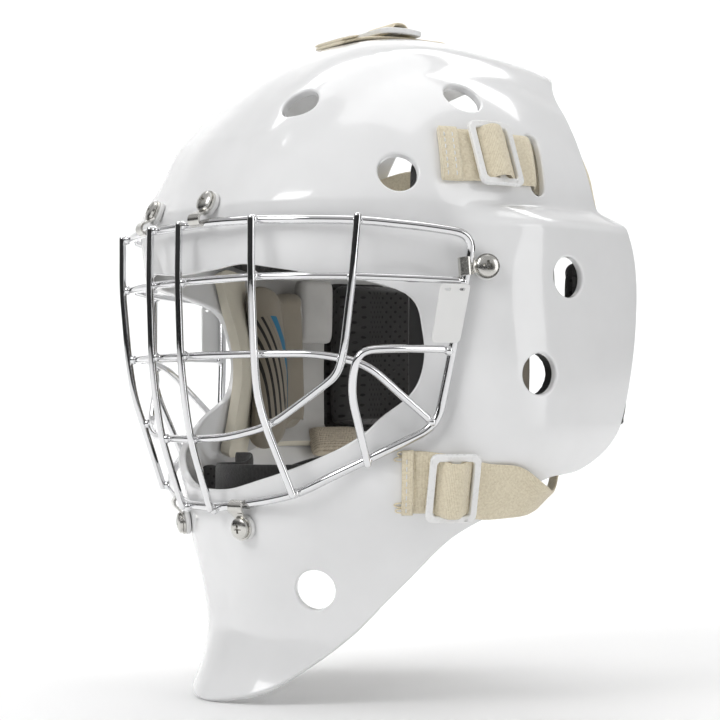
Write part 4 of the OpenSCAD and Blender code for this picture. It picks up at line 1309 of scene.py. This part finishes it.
pad("sweatband_pad", (-40, 40), (40, 52), PAD_BACK, -12.5, BLACK, ["sweatband"], 0.6, 3.0)
pad("forehead_cushion", (-40, 40), (56, 92), PAD_BACK, -15.5, BLACK, ["forehead_pad"], 1.6, 4.0,
    grooves=[(-0.5, 1.2, 1.6), (0, 1.2, 1.6), (0.5, 1.2, 1.6)])
for side, mirror in SIDES:
    pad(side + "_temple_cushion", (62, 94), (48, 92), PAD_BACK, -17, BLACK, [side + "_temple_pad"],
        1.5, 4.5, grooves=[(0, 1.2, 1.4)], mirror=mirror)
    # On the near (left) side the cushion's front strip is black: painted shade for the shadowed inside of the
    # near wing; on the right it is the tan liner cloth.
    front_cloth_near_painted_shade = SMOOTH_BLACK if side == "left" else TAN
    # The cushion's rear band, past the groove, is pale grey: painted shade for the white shell wall in shadow.
    pad(side + "_cheek_cushion", (66, 93), (-40, 38), -10.6, -27.5, front_cloth_near_painted_shade, [side + "_cheek_pad"],
        1.5, 5.5, grooves=[(0.86, 0.8, 1.0)], bands=[(-0.8, TAN), (0.86, SHELL_WALL_SHADE_GREY)], mirror=mirror)
    pad(side + "_ear_cushion", (104, 126), (-34, 43), -6.2, -14.7, BLACK, [side + "_ear_pad"], 1.0, 4.0,
        grooves=[(0.35, 1.2, 1.4, "across")], taper=-13, mirror=mirror)
    # This grey strip is painted shade: it stands for the bare white shell wall in shadow between the cheek and
    # ear cushions.
    pad(side + "_vent_gap_painted_shade", (91.5, 102), (12, 45), -12.5, -25, SHELL_WALL_SHADE_GREY, [], 0.6, 3.0, mirror=mirror)
    pad(side + "_nape_cushion", (97, 111), (-52, -37), PAD_BACK, -15, KNIT, [], 0.8, 3.5, mirror=mirror)
    pad(side + "_rear_lining", (102.5, 121), (-37, 44), -4.2, -6.1, BLACK, [], 0.0, 1.5, mirror=mirror)
    pad(side + "_jaw_cushion", (48, 72), (-82, -52), PAD_BACK, -13, BLACK, ["jaw_pads"], 0.8, 4.0,
        mirror=mirror)
pad("chin_cushion", (-12, 12), (-112, -86), PAD_BACK, -12, BLACK, ["chin_pad"], 0.8, 3.5)


def side_liner(side, mirror):
    """Foam sheet behind the wing, cut out round the two vents."""
    span, heights = (61.0, 102.0), (-45.0, 45.0)
    scale = math.radians(1) * LINER_R
    outline = rounded_rectangle((span[1] - span[0]) * scale, heights[1] - heights[0], 5)
    middle = np.array([(span[0] + span[1]) / 2 * scale, 0])
    turn = np.linspace(0, 2 * math.pi, 32, endpoint=False)
    circle = np.stack([np.cos(turn), np.sin(turn)], -1) * (VENT_R + 1)
    holes = [circle + np.array([a * scale, z]) - middle for a, z in (VENTS[3], VENTS[4])]

    def place(q):
        at = q + middle
        return off(at[:, 0] / scale, at[:, 1], np.full(len(q), -4.8)) * [mirror, 1, 1]
    # The sheet's pale grey is painted shade, standing for the white shell's inner wall in shadow; its front
    # part is cloth.
    obj = plate(side + "_liner_sheet", outline, holes, place, 5.5, SHELL_WALL_SHADE_GREY, 0.9, 3.0)
    obj.modifiers["thickness"].material_offset_rim = 1
    if mirror < 0:
        obj.data.flip_normals()
    # On the near (left) side the sheet's front part and its rim are black: painted shade for the shadowed
    # inside of the near wing; on the right they are the cream liner cloth.
    front_cloth_near_painted_shade = SMOOTH_BLACK if side == "left" else CREAM
    obj.data.materials.append(front_cloth_near_painted_shade)
    obj.data.materials.append(front_cloth_near_painted_shade)
    q = np.array([v.co for v in obj.data.vertices]) / MM
    for face in obj.data.polygons:
        if q[list(face.vertices), 1].mean() < -12:
            face.material_index = 1
    set_cloth(obj, q[:, 1:])
    finished(obj, "root", [side + "_side_liner"])


for side, mirror in SIDES:
    side_liner(side, mirror)


def crown_cushion():
    n = 31
    s = np.sin(np.linspace(-1, 1, n) * math.pi / 2)
    s, t = np.meshgrid(s, s, indexing="ij")
    x, y = squircle(s, t, 8)
    x, y = 30 * x, 3 + 31 * y
    top = DOME_TOP + CREST_H - WALL - 2.5 - 0.0045 * (x * x + (y - AXIS_Y) ** 2)
    rim = np.minimum(1 - np.abs(s), 1 - np.abs(t)) * 30
    edge = rolled(rim, 4)
    groove = 1.4 * np.exp(-(s * 30 / 1.2) ** 2) + 1.4 * np.exp(-(t * 30 / 1.2) ** 2)
    upper = np.stack([x, y, top - 4.5 + 4.5 * edge], -1).reshape(-1, 3)
    lower = np.stack([x, y, top - 4.5 - (4.5 - groove) * edge], -1).reshape(-1, 3)
    obj = add_mesh("crown_cushion", np.vstack([upper, lower]), two_skins(grid_faces(n, n), n * n), BLACK)
    cloth = np.stack([x.ravel(), y.ravel()], -1)
    set_cloth(obj, np.vstack([cloth, cloth]))
    merged(obj, 1e-6)
    finished(obj, "root", ["crown_pad"])


crown_cushion()

# ---- Chin cup and its sling ----

CUP, CUP_R, CUP_T, CUP_TILT = np.array([0, -41, -52.0]), 30.0, 3.2, 25.0
SNAP, SNAP_L = np.array([62, -34, -54.0]), 9.6


def chin_cup():
    depth = np.radians(np.linspace(0, 78, 16))
    outer = [(max(CUP_R * math.sin(t), 0.01), -CUP_R * math.cos(t)) for t in depth]
    rim_z, inner_r = outer[-1][1], CUP_R - CUP_T
    inner = [(max(inner_r * math.sin(t), 0.01), -inner_r * math.cos(t)) for t in depth[::-1]]
    lip_r = (outer[-1][0] + inner[0][0]) / 2
    lip = [(lip_r + 0.8, rim_z + 0.9), (lip_r - 0.8, rim_z + 1.0)]
    mesh = lathe(outer + lip + inner, 64)
    c, s = math.cos(math.radians(CUP_TILT)), math.sin(math.radians(CUP_TILT))
    tilt = np.array([[1, 0, 0], [0, c, s], [0, -s, c]])
    points, faces = mesh[0] @ tilt + CUP, mesh[1]
    obj = merged(add_mesh("chin_cup_bowl", points, faces, SMOOTH_BLACK))
    set_cloth_from_place(obj)
    finished(obj, "chin_cup", ["chin_cup"])
    reach, centre = CUP_R + 2.2, CUP + [0, 0.5, -6]
    start = [(-SNAP[0] + 1.5, SNAP[1]), (-SNAP[0] + 14, SNAP[1] + 1)]
    angles = np.radians(range(-78, 79, 13))
    round_cup = [(reach * math.sin(t), centre[1] - reach * math.cos(t)) for t in angles]
    rows = []
    for x, y in start + round_cup + [(-x, y) for x, y in start[::-1]]:
        middle_z = SNAP[2] if abs(x) > reach else centre[2]
        rows.append(straight_row((x, y, middle_z - 9), (x, y, middle_z + 9)))
    obj = band("chin_sling", rows, 1.4, DARK_WEBBING, cols=11)
    finished(obj, "chin_cup", ["chin_cup_strap"])
    profile = [(0.01, 0), (3.5, 0), (3.5, SNAP_L - 0.8), (3.1, SNAP_L - 0.2), (2.4, SNAP_L), (0.01, SNAP_L)]
    p, f = lathe(profile, 32)
    axes = np.array([[0, 0, -1], [0, 1, 0], [1, 0, 0.0]])
    obj = merged(add_mesh("chin_snap_studs", *mirrored_mesh((p @ axes + SNAP, f)), NICKEL))
    obj.data.set_sharp_from_angle(angle=math.radians(40))
    finished(obj, "root", ["chin_snaps"])


def set_cloth_from_place(obj):
    p = np.array([v.co for v in obj.data.vertices]) / MM
    set_cloth(obj, p[:, [0, 2]])


chin_cup()

# ---- Backplate ----

PLATE = [(58, 33, 117), (66, 39, 116.5), (76, 37, 114.5), (86, 32, 112), (96, 24, 108.5), (104, 17, 103.5)]
PLATE_BOW, PLATE_T = 0.006, 3.0
RIVETS = [(0, 90), (23, 77), (-23, 77), (20, 66.5), (-20, 66.5)]


def plate_point(x, z):
    heights = [row[0] for row in PLATE]
    return np.stack([x, np.interp(z, heights, [row[2] for row in PLATE]) - PLATE_BOW * x * x, z], -1)


def backplate():
    right = spline([(row[1], row[0]) for row in PLATE], 2.0)
    outline = np.vstack([right, (right * [-1, 1])[::-1]])
    centre = outline.mean(0)
    slots = [rounded_rectangle(20, 3, 1.4, 4) + [0, 71], rounded_rectangle(12, 3, 1.4, 4) + [0, 82]]
    obj = plate("backplate_shell", outline, slots, lambda q: plate_point(q[:, 0], q[:, 1]) + [0, PLATE_T, 0],
                PLATE_T, WHITE, 0.9, 3.0)
    if outline_faces_back(obj):
        obj.data.flip_normals()
    obj.modifiers["edges"].segments = 3
    finished(obj, "backplate", ["backplate"])
    inset = (outline - centre) * [0.8, 0.74] + centre
    grid_pad(inset, centre)
    profile = [(0.01, 0.1), (2, 0.1), (2, 2.4), (4.5, 2.4), (4.5, 2.75), (4.1, 3.3), (3.0, 4.0),
               (1.5, 4.4), (0.01, 4.5)]
    meshes = []
    for x, z in RIVETS:
        up, side = (plate_point(x + dx, z + dz) - plate_point(x - dx, z - dz) for dx, dz in ((0, 1), (1, 0)))
        n = unit(np.cross(up, side))
        n = n * np.sign(n[1])
        across = unit(np.cross([0, 0, 1.0], n))
        p, f = lathe(profile, 32)
        meshes.append((p @ np.array([across, np.cross(n, across), n]) + plate_point(x, z) + PLATE_T * n, f))
    obj = merged(add_mesh("rivets", *joined(meshes), NICKEL))
    obj.data.set_sharp_from_angle(angle=math.radians(45))
    finished(obj, "backplate", ["strap_rivets"])


def outline_faces_back(obj):
    """Whether the sheet's faces look towards the head."""
    return sum(p.normal.y * p.area for p in obj.data.polygons) < 0


def grid_pad(outline, centre):
    """The plate's pad: rings of its outline shrunk to the middle, raised to a crown."""
    rings, thick = 12, 8.0
    points = []
    for sign in (-1, 1):
        for k in range(rings + 1):
            share = math.sin(k / rings * math.pi / 2)
            q = (outline - centre) * share + centre
            rim = (1 - share) * 26
            edge = rolled(rim, 4)
            depth = -0.3 - thick / 2 + sign * thick / 2 * edge
            points.append(plate_point(q[:, 0], q[:, 1]) + [0, depth, 0])
    count = len(outline)
    faces = two_skins(grid_faces(rings + 1, count, True), (rings + 1) * count)
    obj = merged(add_mesh("backplate_cushion", np.vstack(points), faces, BLACK), 1e-5)
    set_cloth_from_place(obj)
    finished(obj, "backplate", ["backplate_pad"])


backplate()

# ---- Stage, light and camera ----


TO_RIGHT, TO_BACK = Vector((0.530, 0.848, 0)), Vector((-0.848, 0.530, 0))


def studio():
    floor_z = cad_box[0][2] - 0.0015
    reach, bend = 3.5, 0.9
    profile = [(-3.2, floor_z), (1.2, floor_z)]
    for turn in range(0, 91, 6):
        angle = math.radians(turn)
        profile.append((1.2 + bend * math.sin(angle), floor_z + bend * (1 - math.cos(angle))))
    profile.append((1.2 + bend, 4.0))
    # The cove runs across the view, behind the object
    verts, faces = [], []
    for d, z in profile:
        for side in (-reach, reach):
            verts.append(tuple(view_place(side, d, z)))
    for k in range(len(profile) - 1):
        faces.append((2 * k, 2 * k + 1, 2 * k + 3, 2 * k + 2))
    material, shader = new_material("stage_white", (0.93, 0.93, 0.935), 0.9)
    tone = ramp(material, noise(material, 2, 1), [(0.3, (0.925,) * 3), (0.7, (0.935,) * 3)])
    link(material, tone, shader.inputs["Base Color"])
    cove = add_mesh("stage_cove", np.array(verts) / MM, faces, material)


def area_light(name, where, target, size, power):
    data = bpy.data.lights.new(name, "AREA")
    data.shape = "RECTANGLE"
    data.size, data.size_y = size
    data.energy = power
    obj = bpy.data.objects.new(name, data)
    obj.location = where
    obj.rotation_euler = (Vector(target) - Vector(where)).to_track_quat("-Z", "Y").to_euler()
    bpy.context.scene.collection.objects.link(obj)


def view_place(side, back, up):
    """A place given by how far it is to the camera's right, behind the object, and up."""
    return TO_RIGHT * side + TO_BACK * back + Vector((0, 0, up))


def lights():
    area_light("key", view_place(-1.2, -1.1, 1.2), (0, 0, 0), (1.0, 1.0), 15.5)
    area_light("fill", view_place(1.6, -0.9, 0.4), (0, 0, 0), (0.8, 1.6), 8)
    area_light("top", view_place(0.1, 0.2, 1.9), (0, 0, 0), (1.6, 1.2), 9)
    area_light("backdrop", view_place(0, 0.9, 1.6), view_place(0, 1.9, 0.1), (2.4, 0.8), 20)
    world = bpy.data.worlds.new("studio")
    bpy.context.scene.world = world
    world.use_nodes = True
    background = world.node_tree.nodes["Background"]
    # The room is dim round the horizon, so that the chrome has dark lines, and bright above
    place = node(world, "ShaderNodeTexCoord")
    split = node(world, "ShaderNodeSeparateXYZ")
    link(world, place.outputs["Generated"], split.inputs[0])
    height = math_node(world, "MULTIPLY_ADD", split.outputs["Z"], 0.5, 0.5)
    shades = ((0.0, 0.3), (0.44, 0.3), (0.485, 0.02), (0.6, 0.05), (0.72, 0.5), (1.0, 0.55))
    room = ramp(world, height, [(where, (shade,) * 3) for where, shade in shades])
    # Seen directly, past the cove's edges, it is as pale as the cove
    seen = node(world, "ShaderNodeMixRGB")
    seen.inputs["Color2"].default_value = (0.86, 0.86, 0.87, 1)
    link(world, node(world, "ShaderNodeLightPath").outputs["Is Camera Ray"], seen.inputs["Fac"])
    link(world, room, seen.inputs["Color1"])
    link(world, seen.outputs["Color"], background.inputs["Color"])
    background.inputs["Strength"].default_value = 1.0


def camera():
    azimuth, elevation, distance = math.radians(58), math.radians(-1.5), 0.980
    data = bpy.data.cameras.new("camera")
    data.sensor_width = 36
    data.lens = 102.8
    obj = bpy.data.objects.new("camera", data)
    obj.location = distance * Vector((math.sin(azimuth) * math.cos(elevation),
                                      -math.cos(azimuth) * math.cos(elevation), math.sin(elevation)))
    obj.rotation_euler = (-obj.location).to_track_quat("-Z", "Y").to_euler()
    bpy.context.scene.collection.objects.link(obj)
    bpy.context.scene.camera = obj


studio()
lights()
camera()
bpy.context.scene.view_settings.view_transform = "Standard"
